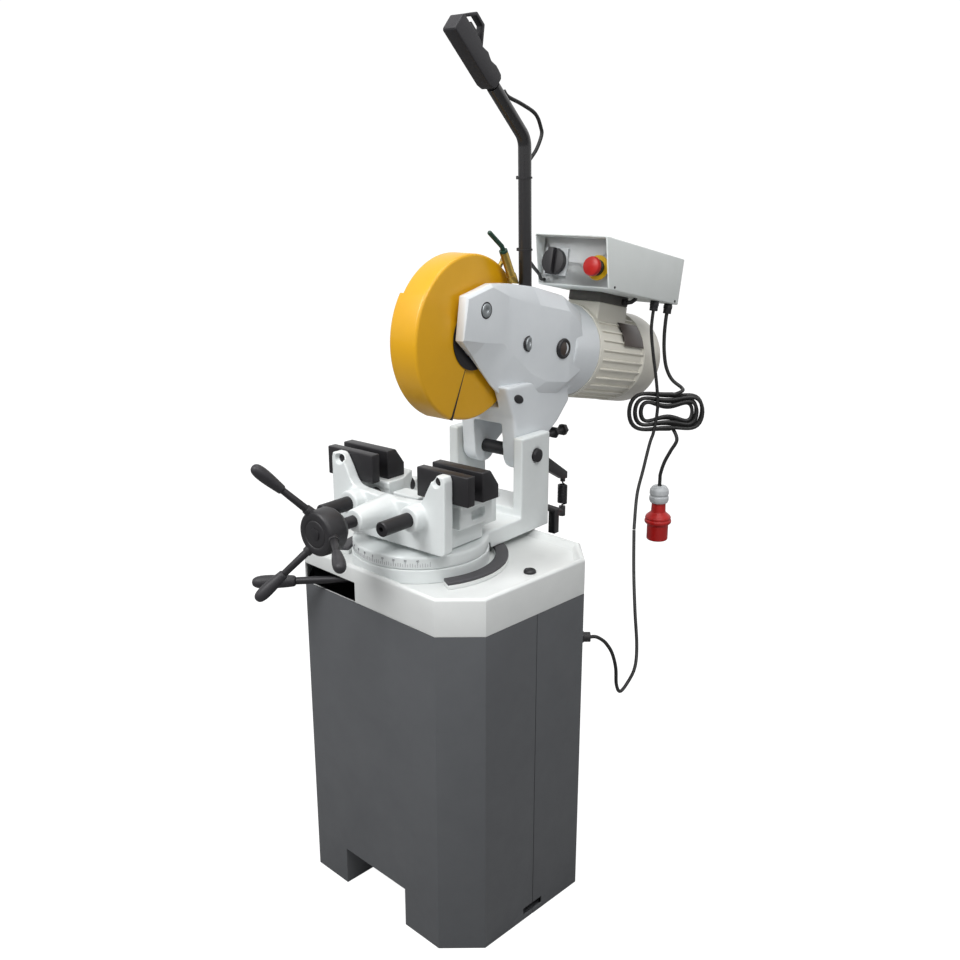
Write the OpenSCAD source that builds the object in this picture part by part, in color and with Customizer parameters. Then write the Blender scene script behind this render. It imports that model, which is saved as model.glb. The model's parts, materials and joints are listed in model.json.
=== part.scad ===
/* [Stand] */
// Width of the cabinet
cab_w = 550; // [500:1:640]
// Depth of the cabinet
cab_d = 440; // [400:1:520]
// Height of the cabinet below the tray
cab_h = 720; // [640:1:800]
// Size of the cut corners
cab_corner = 70; // [40:1:90]
// Thickness of the cabinet sheet
cab_wall = 3; // [2:0.5:4]
// Width of the lifting tunnel
tunnel_w = 200; // [150:1:220]
// Height of the lifting tunnel
tunnel_h = 91; // [60:1:120]
// Spacing of the floor bolts across the width
bolt_dx = 380; // [340:1:400]
// Spacing of the floor bolts across the depth
bolt_dy = 320; // [280:1:330]
// Diameter of the floor bolt holes
bolt_d = 14; // [10:1:18]
// Height of the coolant tray
tray_h = 80; // [70:1:100]
// Width of the tray rim
rim_w = 14; // [10:1:20]

/* [Turntable and vise] */
// Angle that the saw is set to on its stand
set_angle = 5; // [0:1:10]
// Distance of the turntable axis in front of the cabinet centre
turn_front = 65; // [50:1:75]
// Radius of the fixed base ring
ring_r = 146; // [135:1:148]
// Outer radius of the dark sliding track
track_r = 188; // [180:1:190]
// Radius of the centre post
post_r = 45; // [35:1:50]
// Height of the vise bed above the tray floor
bed_up = 171; // [165:1:180]
// Half width of the vise bed
bed_half = 168; // [155:1:172]
// Half width of the blade channel
slot_half = 46; // [44:1:52]
// Length of a jaw plate
jaw_len = 133; // [110:1:136]
// Height of a jaw plate
jaw_h = 61; // [45:1:64]
// Gap between the jaw plates at rest
jaw_gap = 24; // [24:1:30]
// Diameter of the guide rods
rod_d = 30; // [24:1:32]
// Distance of each guide rod from the centre
rod_half = 84; // [80:1:88]
// Diameter of the vise screw
screw_d = 24; // [18:1:26]
// Diameter of the capstan hub
hub_d = 90; // [70:1:96]
// Length of a capstan spoke from the axis
spoke_len = 198; // [170:1:205]
// Diameter of a capstan grip
knob_d = 26; // [20:1:30]

/* [Arm] */
// Half width of the swivel arm
arm_half = 105; // [100:1:108]
// Length of the swivel arm behind the turntable axis
arm_len = 318; // [310:1:325]
// Thickness of one upright
upright_w = 25; // [18:1:26]
// Distance of the pivot behind the turntable axis
pivot_back = 268; // [266:1:270]
// Height of the pivot above the tray floor
pivot_up = 190; // [188:1:192]
// Diameter of the pivot shaft
pivot_d = 30; // [24:1:36]

/* [Saw head] */
// Diameter of the saw blade
blade_d = 315; // [290:1:318]
// Thickness of the saw blade
blade_t = 2.5; // [1.5:0.5:3.5]
// Distance of the arbor in front of the pivot
arbor_fore = 135; // [133:1:137]
// Height of the arbor above the pivot
arbor_up = 269; // [267:1:271]
// Diameter of the arbor
arbor_d = 30; // [24:1:32]
// Half width of the fixed guard
guard_half = 33; // [30:1:33]
// Thickness of the guard sheet
guard_t = 2.5; // [1.5:0.5:3]
// Right face of the gear case nose
nose_face = 68; // [66:1:74]
// Half width of the gear case at the motor
case_half = 100; // [98:1:106]
// Radius of the round rear end of the gear case
bell_r = 108; // [105:1:112]
// Slope of the motor
motor_tilt = 11.5; // [10:0.5:13]
// Radius of the motor barrel without its fins
motor_r = 105; // [102:1:107]
// Length of the finned motor barrel
motor_len = 215; // [205:1:222]
// Length of the fan cover
fan_len = 87; // [80:1:92]
// Diameter of the handle tube
tube_d = 28; // [24:1:30]
// Height of the straight part of the handle tube
tube_up = 287; // [265:1:300]
// Length of the grip
grip_len = 190; // [160:1:200]

/* [Control box] */
// Width of the control box
box_w = 196; // [180:1:210]
// Height of the control box
box_h = 112; // [100:1:120]
// Depth of the control box
box_d = 326; // [310:1:345]
// Thickness of the control box sheet
box_wall = 3; // [2:0.5:4]
// Diameter of the rotary switch knob
knob_sw_d = 60; // [50:1:62]
// Diameter of the stop button
stop_d = 44; // [36:1:46]

/* [Cords] */
// Diameter of the power cord
cord_d = 9; // [7:0.5:9]
// Diameter of the pump lead
lead_d = 8; // [6:0.5:8]
// Diameter of the return spring
spring_d = 24; // [20:1:26]
// Number of spring turns
spring_turns = 9; // [6:1:10]

/* [Hidden] */
$fn = 48;

// Clearances and small sizes that several pieces share
cut = 1;
run_gap = 0.05;
seat_gap = 0.3;
free_gap = 1.5;

// Heights
tray_top = cab_h + tray_h;
floor_drop = 14;
floor_t = 4;
floor_z = tray_top - floor_drop;
bed_z = floor_z + bed_up;
pivot_z = floor_z + pivot_up;
arbor_y = pivot_back - arbor_fore;
arbor_z = pivot_z + arbor_up;

// Local frames
module saw() translate([0, -turn_front, 0]) rotate([0, 0, set_angle]) children();
module about_x(y, z, x0 = 0) translate([x0, y, z]) rotate([90, 0, 90]) children();
module along_y(x, y0, z) translate([x, y0, z]) rotate([-90, 0, 0]) children();
module both_sides() for (s = [0, 1]) mirror([s, 0, 0]) children();

// Plain shapes that repeat
module block(x0, x1, y0, y1, z0, z1) translate([x0, y0, z0]) cube([x1 - x0, y1 - y0, z1 - z0]);
module ring(r_out, r_in, h) difference() {
    cylinder(r = r_out, h = h);
    translate([0, 0, -cut]) cylinder(r = r_in, h = h + 2 * cut);
}
module hex_head(r, h) cylinder(r = r, h = h, $fn = 6);
module round_bar(r, a, b) {
    d = b - a;
    translate(a) rotate([0, acos(d[2] / norm(d)), atan2(d[1], d[0])]) cylinder(r = r, h = norm(d));
}

// A tube swept along route points: rings of n corners square to the route, with flat ends
function unit(v) = v / norm(v);
function route_dir(p, i) = unit(p[min(i + 1, len(p) - 1)] - p[max(i - 1, 0)]);
function side_of(t) = abs(t[2]) > 0.9 ? unit(cross(t, [1, 0, 0])) : unit(cross(t, [0, 0, 1]));
function carried_all(p, i = 0, s = undef, out = []) = i == len(p) ? out :
    let (t = route_dir(p, i), q = i == 0 ? side_of(t) : unit(s - t * (s * t)))
    carried_all(p, i + 1, q, concat(out, [q]));
function tube_points(p, r, n) = let (sides = carried_all(p)) [for (i = [0 : len(p) - 1], k = [0 : n - 1])
    let (t = route_dir(p, i), s = sides[i], b = cross(t, s))
    p[i] + r * (cos(360 * k / n) * s + sin(360 * k / n) * b)];
function tube_faces(m, n) = concat(
    [for (k = [1 : n - 2]) [0, k, k + 1]],
    [for (k = [1 : n - 2]) [(m - 1) * n, (m - 1) * n + k + 1, (m - 1) * n + k]],
    [for (i = [0 : m - 2], k = [0 : n - 1]) [i * n + k, (i + 1) * n + k, i * n + (k + 1) % n]],
    [for (i = [0 : m - 2], k = [0 : n - 1])
        [i * n + (k + 1) % n, (i + 1) * n + k, (i + 1) * n + (k + 1) % n]]);
module swept(p, r, n) polyhedron(tube_points(p, r, n), tube_faces(len(p), n));
// Points of a smooth curve through the route, m steps to a stretch
function knot(p, i) = p[min(max(i, 0), len(p) - 1)];
function smooth_at(p, i, u) = let (a = knot(p, i - 1), b = knot(p, i), c = knot(p, i + 1), d = knot(p, i + 2))
    0.5 * (2 * b + (c - a) * u + (2 * a - 5 * b + 4 * c - d) * u * u + (3 * b - a - 3 * c + d) * u * u * u);
function smooth(p, m) = concat([for (i = [0 : len(p) - 2], j = [0 : m - 1]) smooth_at(p, i, j / m)],
    [p[len(p) - 1]]);

// Cabinet
seam_gap = 1.5;
side_slot_w = 60;
side_slot_h = 16;
side_slot_z = 13;
tank_w = 420;
tank_d = 200;
tank_h = 150;
tank_wall = 4;
shelf_z = 400;
shelf_t = 4;
pump_r = 55;
pump_h = 170;
gland_down = 123;
gland_z = cab_h - gland_down;
gland_r = 11;
gland_len = 22;
module eight_sided(w, d, c) polygon([[-w / 2, -d / 2 + c], [-w / 2 + c, -d / 2], [w / 2 - c, -d / 2],
    [w / 2, -d / 2 + c], [w / 2, d / 2 - c], [w / 2 - c, d / 2], [-w / 2 + c, d / 2], [-w / 2, d / 2 - c]]);
inner_corner = cab_corner - cab_wall * (2 - sqrt(2));
module cabinet_shell() difference() {
    linear_extrude(cab_h) eight_sided(cab_w, cab_d, cab_corner);
    difference() {
        translate([0, 0, cab_wall]) linear_extrude(cab_h)
            eight_sided(cab_w - 2 * cab_wall, cab_d - 2 * cab_wall, inner_corner);
        tunnel_box(tunnel_w / 2 + cab_wall, tunnel_h + cab_wall, 0);
    }
    tunnel_box(tunnel_w / 2, tunnel_h, cut);
    for (sx = [-1, 1], sy = [-1, 1]) translate([sx * bolt_dx / 2, sy * bolt_dy / 2, -cut])
        cylinder(d = bolt_d, h = cab_wall + 2 * cut);
    for (s = [-1, 1]) block(s * cab_w / 2 - cab_wall - cut, s * cab_w / 2 + cab_wall + cut,
        -side_slot_w / 2, side_slot_w / 2, side_slot_z, side_slot_z + side_slot_h);
}
module tunnel_box(half, high, past) block(-half, half, -cab_d / 2 - past, cab_d / 2 + past, -past, high);
module cabinet_front() color("dimgray") intersection() {
    cabinet_shell();
    block(-cab_w, cab_w, -cab_d, -seam_gap / 2, 0, cab_h);
}
module cabinet_rear() color("dimgray") {
    difference() {
        intersection() {
            cabinet_shell();
            block(-cab_w, cab_w, seam_gap / 2, cab_d, 0, cab_h);
        }
        gland_frame() translate([0, 0, -gland_len]) cylinder(r = gland_r - cab_wall, h = 2 * gland_len);
    }
    block(-cab_w / 2 + cab_corner, cab_w / 2 - cab_corner, seam_gap / 2, cab_d / 2 - cab_wall / 2,
        shelf_z, shelf_z + shelf_t);
    both_sides() block(cab_w / 2 - cab_corner - cut, cab_w / 2 - cab_wall / 2, seam_gap / 2,
        cab_d / 2 - cab_corner - cut, shelf_z, shelf_z + shelf_t);
}
module gland_frame() translate([cab_w / 2 - cab_corner / 2, cab_d / 2 - cab_corner / 2, gland_z])
    rotate([0, 0, 45]) rotate([0, 90, 0]) children();
module pump_gland() color("black") gland_frame() {
    hex_head(gland_r + cab_wall, gland_len / 3);
    difference() {
        cylinder(r = gland_r, h = gland_len);
        translate([0, 0, -cut]) cylinder(r = lead_d / 2 + run_gap, h = gland_len + 2 * cut);
    }
}
tank_y = seam_gap / 2 + (cab_d / 2 - cab_wall) / 2;
tank_z = shelf_z + shelf_t;
module coolant_tank() color("gray") difference() {
    block(-tank_w / 2, tank_w / 2, tank_y - tank_d / 2 + cab_wall, tank_y + tank_d / 2 - cab_wall,
        tank_z, tank_z + tank_h);
    block(-tank_w / 2 + tank_wall, tank_w / 2 - tank_wall, tank_y - tank_d / 2 + cab_wall + tank_wall,
        tank_y + tank_d / 2 - cab_wall - tank_wall, tank_z + tank_wall, tank_z + tank_h + cut);
}
module coolant_pump() color("seagreen") translate([tank_w / 4, tank_y, tank_z + tank_wall]) {
    cylinder(r = pump_r / 2, h = tank_h - tank_wall);
    translate([0, 0, tank_h - tank_wall]) cylinder(r = pump_r, h = tank_wall);
    translate([0, 0, tank_h]) cylinder(r = pump_r * pump_head_share, h = pump_h - tank_h + pump_r);
}
pump_head_share = 0.85;

// Tray
slot_end = 1;
tray_slot_left = cab_w / 2 - cab_corner - slot_end;
tray_slot_right = 35;
tray_slot_low = 1;
tray_slot_high = 45;
cap_in = 54;
cap_x = cab_w / 2 - cap_in;
cap_y = 36;
cap_r = 13;
cap_h = 7;
module tray() color("gainsboro") difference() {
    translate([0, 0, cab_h]) linear_extrude(tray_h) eight_sided(cab_w, cab_d, cab_corner);
    translate([0, 0, cab_h - cut]) linear_extrude(tray_h - floor_drop - floor_t + cut)
        eight_sided(cab_w - 2 * cab_wall, cab_d - 2 * cab_wall, inner_corner);
    translate([0, 0, floor_z]) linear_extrude(tray_h)
        eight_sided(cab_w - 2 * rim_w, cab_d - 2 * rim_w, cab_corner - rim_w * (2 - sqrt(2)));
    block(-tray_slot_left, -tray_slot_right, -cab_d / 2 - cut, -cab_d / 2 + rim_w,
        cab_h + tray_slot_low, cab_h + tray_slot_high);
    saw() translate([0, 0, floor_z - 2 * floor_t]) cylinder(r = spindle_r + run_gap, h = 4 * floor_t);
    saw() translate([0, 0, floor_z]) cylinder(r = ring_r + seat_gap, h = tray_h);
    translate([cap_x, cap_y, floor_z - 2 * floor_t]) cylinder(r = cap_r * cap_stem_share, h = 4 * floor_t);
}
cap_stem_share = 0.7;
module tray_plug() color("black") translate([cap_x, cap_y, floor_z]) {
    cylinder(r = cap_r, h = cap_h);
    translate([0, 0, -floor_t]) cylinder(r = cap_r * cap_stem_share - run_gap, h = floor_t + cut);
}

// Turntable
ring_h = 29;
dial_h = 27;
track_w = 30;
track_h = 16;
track_open = 118;
dial_z = floor_z + ring_h + seat_gap;
dial_top = dial_z + dial_h;
spindle_r = 20;
nut_up = 14;
nut_z = cab_h + nut_up;
lever_h = 22;
module swivel_track() color("#3c3d40") saw() translate([0, 0, floor_z])
    rotate([0, 0, track_open / 2 - 90]) rotate_extrude(angle = 360 - track_open)
        translate([track_r - track_w, 0]) square([track_w, track_h]);
module base_ring() color("gainsboro") saw() translate([0, 0, floor_z]) ring(ring_r, post_r + run_gap, ring_h);

// Lock lever under the tray
lock_angle = 40;
lock_r = 8;
lock_reach = 262;
lock_grip_len = 78;
lock_grip_r = 15;
lock_dir = -90 - lock_angle;
module lock_at() translate([0, -turn_front, nut_z + lever_h / 2]) rotate([0, 0, lock_dir]) children();
module lock_lever() color("black") {
    translate([0, -turn_front, nut_z]) ring(spindle_r + lock_r, spindle_r + run_gap, lever_h);
    lock_at() translate([spindle_r + lock_r / 2, 0, 0]) rotate([0, 90, 0])
        cylinder(r = lock_r, h = lock_reach - spindle_r);
}
module lock_grip() color("black") lock_at() translate([lock_reach + lock_r / 2, 0, 0]) rotate([0, 90, 0]) {
    cylinder(r = lock_grip_r, h = lock_grip_len);
    translate([0, 0, lock_grip_len]) sphere(r = lock_grip_r);
}

// Vise
vise_z = dial_top + seat_gap + free_gap;
bed_front = 45;
bed_back = 60;
ledge_back = 108;
ledge_down = 32;
ledge_z = bed_z - ledge_down;
channel_deep = 57;
channel_z = bed_z - channel_deep;
flare = 30;
wing_t = 24;
wing_top = 14;
web_half = 148;
web_deep = 62;
web_z = bed_z - web_deep;
jaw_in = 62;
jaw_face = 30;
jaw_t = 22;
rear_jaw_foot = 50;
rear_jaw_top_t = 25;
rod_down = 33;
rod_z = bed_z - rod_down;
rod_out = 202;
screw_down = 36;
screw_z = bed_z - screw_down;
nut_half = 36;
pedestal_half = 120;
pedestal_front = 40;
module channel_cut() translate([0, 0, channel_z]) linear_extrude(bed_up) polygon([
    [-slot_half, -bed_front - cut], [slot_half, -bed_front - cut], [slot_half, 0],
    [slot_half + ledge_back * tan(flare), ledge_back + cut],
    [-slot_half - ledge_back * tan(flare), ledge_back + cut], [-slot_half, 0]]);
nut_back = 5;
module vise_body() color("gainsboro") saw() difference() {
    union() {
        translate([0, 0, cab_h + nut_drop]) cylinder(r = spindle_r, h = floor_z - cab_h);
        translate([0, 0, floor_z]) cylinder(r = post_r, h = vise_z - floor_z + cut);
        difference() {
            union() {
                block(-pedestal_half, pedestal_half, -pedestal_front, bed_back, vise_z, channel_z + cut);
                block(-web_half, web_half, -bed_front, bed_back, web_z, bed_z - wing_top + cut);
                block(-bed_half, bed_half, -bed_front, bed_back, bed_z - wing_top, bed_z);
                block(-pedestal_half, pedestal_half, bed_back - cut, ledge_back, vise_z + wing_t, ledge_z);
            }
            channel_cut();
        }
        block(-nut_half, nut_half, -bed_front, -nut_back, channel_z - cut, screw_z + screw_d * nut_top_share);
    }
    for (s = [-1, 1]) along_y(s * rod_half, -pedestal_front - wing_t, rod_z)
        cylinder(d = rod_d + 2 * run_gap, h = bed_back + pedestal_front + wing_t + cut);
    along_y(0, -pedestal_front - wing_t, screw_z)
        cylinder(d = screw_d + 2 * run_gap, h = pedestal_front + wing_t + ledge_back + cut);
}
nut_top_share = 0.75;
nut_drop = 8;
module rear_jaw_plates() color("#222") saw() both_sides() about_x(0, bed_z, jaw_in)
    linear_extrude(jaw_len) polygon([[-jaw_face, 0], [-jaw_face, jaw_h], [-jaw_face + rear_jaw_top_t, jaw_h],
        [-jaw_face + rear_jaw_foot, jaw_h * jaw_step_share], [-jaw_face + rear_jaw_foot, 0]]);
jaw_step_share = 0.45;
module guide_rods() color("#333") saw() for (s = [-1, 1]) along_y(s * rod_half, -rod_out, rod_z)
    cylinder(d = rod_d, h = rod_out + bed_back);

// Sliding front jaw, its screw and the capstan
plate_face = jaw_face + jaw_gap;
plate_back = plate_face + jaw_t;
horn_in = 85;
horn_out = 157;
horn_top_in = 128;
horn_neck_in = 103;
horn_neck_up = 10;
horn_hole_in = 22;
horn_hole_up = 47;
horn_t = 24;
horn_low = 107;
horn_hole_r = 9;
boss_front = 128;
boss_r = 27;
nose_r1 = 32;
nose_r2 = 23;
nose_end = 193;
hub_back = 236;
hub_len = 60;
capstan_lean = 38.3;
capstan_turn = -3;
spoke_r = 8;
knob_len = 74;
screw_back = 95;
module front_jaw() color("gainsboro") saw() difference() {
    union() {
        both_sides() translate([0, -plate_back, bed_z]) rotate([90, 0, 0]) linear_extrude(horn_t)
            polygon([[horn_in, -horn_low], [horn_out, -horn_low], [horn_out, jaw_h], [horn_top_in, jaw_h],
                [horn_neck_in, horn_neck_up], [horn_in, boss_r - rod_down]]);
        block(-horn_in - cut, horn_in + cut, -plate_back - horn_t, -plate_back,
            bed_z - horn_low, rod_z + boss_r);
        both_sides() along_y(rod_half, -boss_front, rod_z) cylinder(r = boss_r, h = boss_front - plate_back);
        along_y(0, -nose_end, screw_z)
            cylinder(r1 = nose_r2, r2 = nose_r1, h = nose_end - plate_back - horn_t);
        along_y(0, -plate_back - horn_t - cut, screw_z) cylinder(r = nose_r1, h = horn_t);
    }
    both_sides() along_y(rod_half, -boss_front - cut, rod_z)
        cylinder(d = rod_d + 2 * run_gap, h = boss_front);
    along_y(0, -nose_end - cut, screw_z) cylinder(d = screw_d + 2 * run_gap, h = nose_end);
    both_sides() along_y(horn_out - horn_hole_in, -plate_back - horn_t - cut, bed_z + horn_hole_up)
        cylinder(r = horn_hole_r, h = horn_t + 2 * cut);
}
module front_jaw_plates() color("#222") saw() both_sides()
    block(jaw_in, jaw_in + jaw_len, -plate_back, -plate_face, bed_z + seat_gap, bed_z + jaw_h);
module vise_screw() color("silver") saw() difference() {
    along_y(0, -hub_back - hub_len, screw_z) cylinder(d = screw_d, h = hub_back + hub_len + screw_back);
    screw_collar_groove();
}
module screw_collar_groove() along_y(0, screw_back - screw_d / 4, screw_z)
    ring(screw_d, screw_d / 2 - cut, cut);
module capstan_hub() color("#222") saw() difference() {
    along_y(0, -hub_back - hub_len, screw_z) {
        cylinder(d = hub_d, h = hub_len * hub_rim_share);
        translate([0, 0, hub_len * hub_rim_share]) cylinder(d1 = hub_d, d2 = 2 * nose_r1,
            h = hub_len * (1 - hub_rim_share));
    }
    along_y(0, -hub_back - hub_len - cut, screw_z) cylinder(d = screw_d, h = hub_len + 2 * cut);
    for (k = [0 : 2]) spoke_at(k) cylinder(r = spoke_r, h = hub_d);
}
hub_rim_share = 0.7;
spoke_root = 24;
spoke_set = 16;
module spoke_at(k) translate([0, -hub_back - spoke_set, screw_z]) rotate([0, -(capstan_turn + 120 * k), 0])
    rotate([0, 0, -capstan_lean]) rotate([0, 90, 0]) translate([0, 0, spoke_root]) children();
module capstan_spokes() color("black") saw() for (k = [0 : 2]) spoke_at(k)
    cylinder(r = spoke_r, h = spoke_len - spoke_root - knob_len);
module capstan_grips() color("black") saw() for (k = [0 : 2]) spoke_at(k)
    translate([0, 0, spoke_len - spoke_root - knob_len]) {
        cylinder(d1 = knob_d * knob_root_share, d2 = knob_d, h = knob_len / 2);
        translate([0, 0, knob_len / 2]) cylinder(d = knob_d, h = knob_len / 2 - knob_d / 2);
        translate([0, 0, knob_len - knob_d / 2]) sphere(d = knob_d);
    }
knob_root_share = 0.75;

// Swivel arm with its uprights
disc_set = 2;
disc_r = ring_r - disc_set;
under_gap = 4;
heel_h = 18;
upright_front = 215;
upright_rise = 46;
arm_low = floor_z + track_h + seat_gap;
upright_in = arm_half - upright_w;
module swivel_arm() color("gainsboro") saw() difference() {
    union() {
        translate([0, 0, dial_z]) cylinder(r = disc_r, h = dial_h);
        difference() {
            block(-arm_half, arm_half, 0, arm_len, arm_low, dial_top);
            translate([0, 0, arm_low - cut]) cylinder(r = ring_r + under_gap, h = dial_z - arm_low + cut);
        }
        block(-arm_half, arm_half, upright_front, arm_len, dial_top - cut, dial_top + heel_h);
        both_sides() {
            block(upright_in, arm_half, upright_front, arm_len, dial_top, pivot_z + upright_rise);
        }
    }
    translate([0, 0, arm_low - cut]) cylinder(r = post_r + run_gap, h = dial_top);
    about_x(pivot_back, pivot_z, -2 * arm_half) cylinder(d = pivot_d + 2 * run_gap, h = 4 * arm_half);
}
shaft_past = 7;
module pivot_shaft() color("#444") saw() about_x(pivot_back, pivot_z, -arm_half - shaft_past)
    cylinder(d = pivot_d, h = 2 * (arm_half + shaft_past));

// Return spring, its foot on the arm and its lever on the head
spring_x = 60;
spring_back = 120;
spring_y = arm_len + spring_back;
spring_drop = 36.3;
spring_low = dial_top - spring_drop;
spring_span = 62;
spring_high = spring_low + spring_span;
wire_r = 1.6;
anchor_r = 8;
anchor_half = 15;
anchor_t = 8;
bar_fore = 34;
bar_y = spring_y - bar_fore;
bar_half = 9;
bar_drop = 58;
bar_low = spring_low - bar_drop;
module spring_anchor() color("#222") saw() {
    block(spring_x - anchor_half, spring_x + anchor_half, arm_len, arm_len + anchor_t,
        arm_low, dial_top + heel_h);
    round_bar(anchor_r, [spring_x, arm_len + anchor_t / 2, dial_top],
        [spring_x, spring_y, spring_low - anchor_r - anchor_t]);
    translate([spring_x, spring_y, spring_low - anchor_r - 2 * anchor_t])
        cylinder(r = anchor_r, h = anchor_r + 2 * anchor_t);
    block(spring_x - bar_half, spring_x + bar_half, bar_y - bar_half, bar_y + bar_half, bar_low, spring_low);
}
coil_r = spring_d / 2 - wire_r;
spring_end = 5 * wire_r;
spring_rise = spring_high - spring_low - seat_gap - 2 * spring_end;
curl_rings = 8;
spring_h = spring_high - spring_low - seat_gap;
spring_points = concat([[0, 0, 0], [0, 0, 2 * wire_r]],
    [for (i = [0 : spring_turns * curl_rings]) let (a = 360 * i / curl_rings)
        [coil_r * cos(a), coil_r * sin(a), spring_end + spring_rise * i / (spring_turns * curl_rings)]],
    [[0, 0, spring_h - 2 * wire_r], [0, 0, spring_h]]);
echo(spring_gap = spring_rise / spring_turns - 2 * wire_r);
module return_spring() color("silver") saw() translate([spring_x, spring_y, spring_low])
    swept(spring_points, wire_r, 6);

// Gear case, yoke and what they carry
nose_in = 40;
plate_t = 6;
hub_r = 50;
bell_back = 127;
bell_y = pivot_back + bell_back;
bell_up = 217;
bell_z = pivot_z + bell_up;
bell_half = case_half;
yoke_half = 78;
yoke_gap = 40;
yoke_slot_up = 69;
lug_r = 38;
guard_clear = 15.5;
guard_r = blade_d / 2 + guard_clear;
swing_gap = 1.5;
swing_lap = 1;
swing_r = guard_r + swing_gap + guard_t + swing_lap;
swing_half = guard_half + swing_gap + guard_t;
flange_past = 2;
flange_r = 105;
flange_len = bell_r + flange_past;
bell_bevel = 28;
bell_face_r = 70;
crease = 77;
case_end = 264;
tube_x = 60;
tube_back = 11;
tube_y = pivot_back + tube_back;
tube_foot_up = 95;
tube_lean = 1.6;
tube_foot = arbor_z + tube_foot_up;
socket_r = 18;
socket_h = 28;
worm_up = 60;
worm_x = 54;
worm_r = 8;
worm_shaft_r = 6;
wheel_r = worm_up - worm_r - seat_gap;
pinion_r = 44;
rotor_shaft_r = 12;
// Side outlines, in reaches from the arbor and from the pivot
nose_reach = 67;
nose_lip = 15;
brow_back = 55;
brow_up = 92;
top_fore = 8;
top_up = 112;
top_back = 92;
top_back_up = 109;
shoulder_back = 167;
shoulder_up = 97;
case_end_up = 70;
chin_back = 63;
chin_down = 122;
belly_back = 145;
belly_down = 92;
rear_down = 125;
case_outline = [[-nose_reach, nose_lip], [chin_back, -chin_down], [belly_back, -belly_down],
    [case_end, -rear_down], [case_end, case_end_up], [shoulder_back, shoulder_up], [top_back, top_back_up],
    [-top_fore, top_up], [-brow_back, brow_up]];
leg_front = 45;
leg_mid = 85;
leg_top = 160;
leg_top_front = 75;
leg_back = 120;
leg_back_up = 52;
leg_rear = 165;
leg_rear_up = 95;
leg_outline = [[-lug_r, 0], [lug_r, 0], [leg_back, leg_back_up], [leg_rear, leg_rear_up],
    [leg_rear - leg_front / 3, leg_top], [-leg_top_front, leg_top], [-leg_front, leg_mid]];
module motor_frame() translate([0, bell_y, bell_z]) rotate([-motor_tilt, 0, 0]) children();
module on_motor(y0) motor_frame() translate([0, y0, 0]) rotate([-90, 0, 0]) children();
module case_plan() linear_extrude(2 * arbor_z) polygon([[nose_in, arbor_y - nose_reach - cut],
    [nose_face, arbor_y - nose_reach - cut], [nose_face, arbor_y + crease], [case_half, bell_y],
    [case_half, bell_y + bell_r], [-case_half, bell_y + bell_r], [-case_half, case_left],
    [nose_in, case_left]]);
case_clear = 6;
case_left = arbor_y + swing_r + case_clear;
module wheel_space() {
    about_x(arbor_y, arbor_z, nose_in - cut)
        cylinder(r = wheel_r + free_gap, h = worm_x + worm_r + cut - nose_in);
    motor_frame() block(nose_in - cut, worm_x + worm_r, arbor_along - worm_front, -bell_half + plate_t,
        arbor_level + worm_up - worm_r - free_gap, arbor_level + worm_up + worm_r + free_gap);
}
worm_front = 38;
worm_tip = 8;
arbor_along = (arbor_y - bell_y) * cos(motor_tilt) - (arbor_z - bell_z) * sin(motor_tilt);
arbor_level = (arbor_y - bell_y) * sin(motor_tilt) + (arbor_z - bell_z) * cos(motor_tilt);
lay_gear_r = norm([worm_x, arbor_level + worm_up]) - pinion_r - seat_gap;
gear_front = 30;
gear_back = 10;
gear_w = 20;
module yoke_solid() difference() {
    union() {
        about_x(pivot_back, pivot_z, -yoke_half) linear_extrude(2 * yoke_half) polygon(leg_outline);
        about_x(pivot_back, pivot_z, -yoke_half) cylinder(r = lug_r, h = 2 * yoke_half);
    }
    block(-yoke_gap, yoke_gap, 0, 2 * pivot_back, pivot_z - 2 * lug_r, pivot_z + yoke_slot_up);
    about_x(arbor_y, arbor_z, -yoke_gap) cylinder(r = swing_r + free_gap, h = yoke_gap + nose_in + plate_t);
}
module bell() rotate_extrude() polygon([[0, -bell_half], [bell_face_r, -bell_half],
    [bell_r, bell_bevel - bell_half], [bell_r, bell_half - bell_bevel], [bell_face_r, bell_half],
    [0, bell_half]]);
module gear_case() color("gainsboro") saw() difference() {
    union() {
        difference() {
            intersection() {
                about_x(arbor_y, arbor_z, -case_half - cut) linear_extrude(2 * case_half + 2 * cut)
                    polygon(case_outline);
                case_plan();
            }
            block(nose_in - cut, nose_in + plate_t, arbor_y - nose_reach - cut, case_left, 0, 2 * arbor_z);
        }
        about_x(bell_y, bell_z) bell();
        on_motor(0) cylinder(r = flange_r, h = flange_len);
        yoke_solid();
        translate([tube_x, tube_y, tube_foot - socket_h]) cylinder(r = socket_r, h = 2 * socket_h);
    }
    plate_blank();
    about_x(arbor_y, arbor_z, -yoke_gap) cylinder(r = swing_r + free_gap, h = yoke_gap + nose_in + cut);
    about_x(pivot_back, pivot_z, -2 * yoke_half) cylinder(d = pivot_d + 2 * run_gap, h = 4 * yoke_half);
    translate([tube_x, tube_y, tube_foot]) rotate([tube_lean, 0, 0])
        cylinder(d = tube_d + 2 * run_gap, h = 2 * socket_h);
    wheel_space();
    about_x(arbor_y, arbor_z, worm_x) cylinder(r = arbor_tip_r + run_gap, h = nose_face - worm_x - cut);
    worm_at(arbor_along - worm_front - worm_tip) cylinder(r = worm_shaft_r + run_gap,
        h = worm_front + worm_tip - arbor_along);
    worm_at(-gear_front) cylinder(r = lay_gear_r + free_gap, h = gear_front + gear_back);
    on_motor(-gear_front) cylinder(r = pinion_r + free_gap, h = gear_front + gear_back);
    on_motor(-gear_front) cylinder(r = rotor_shaft_r + run_gap, h = flange_len + gear_front + cut);
}
arbor_tip_r = 10;
module worm_at(y0) motor_frame() translate([worm_x, y0, arbor_level + worm_up]) rotate([-90, 0, 0])
    children();
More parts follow.
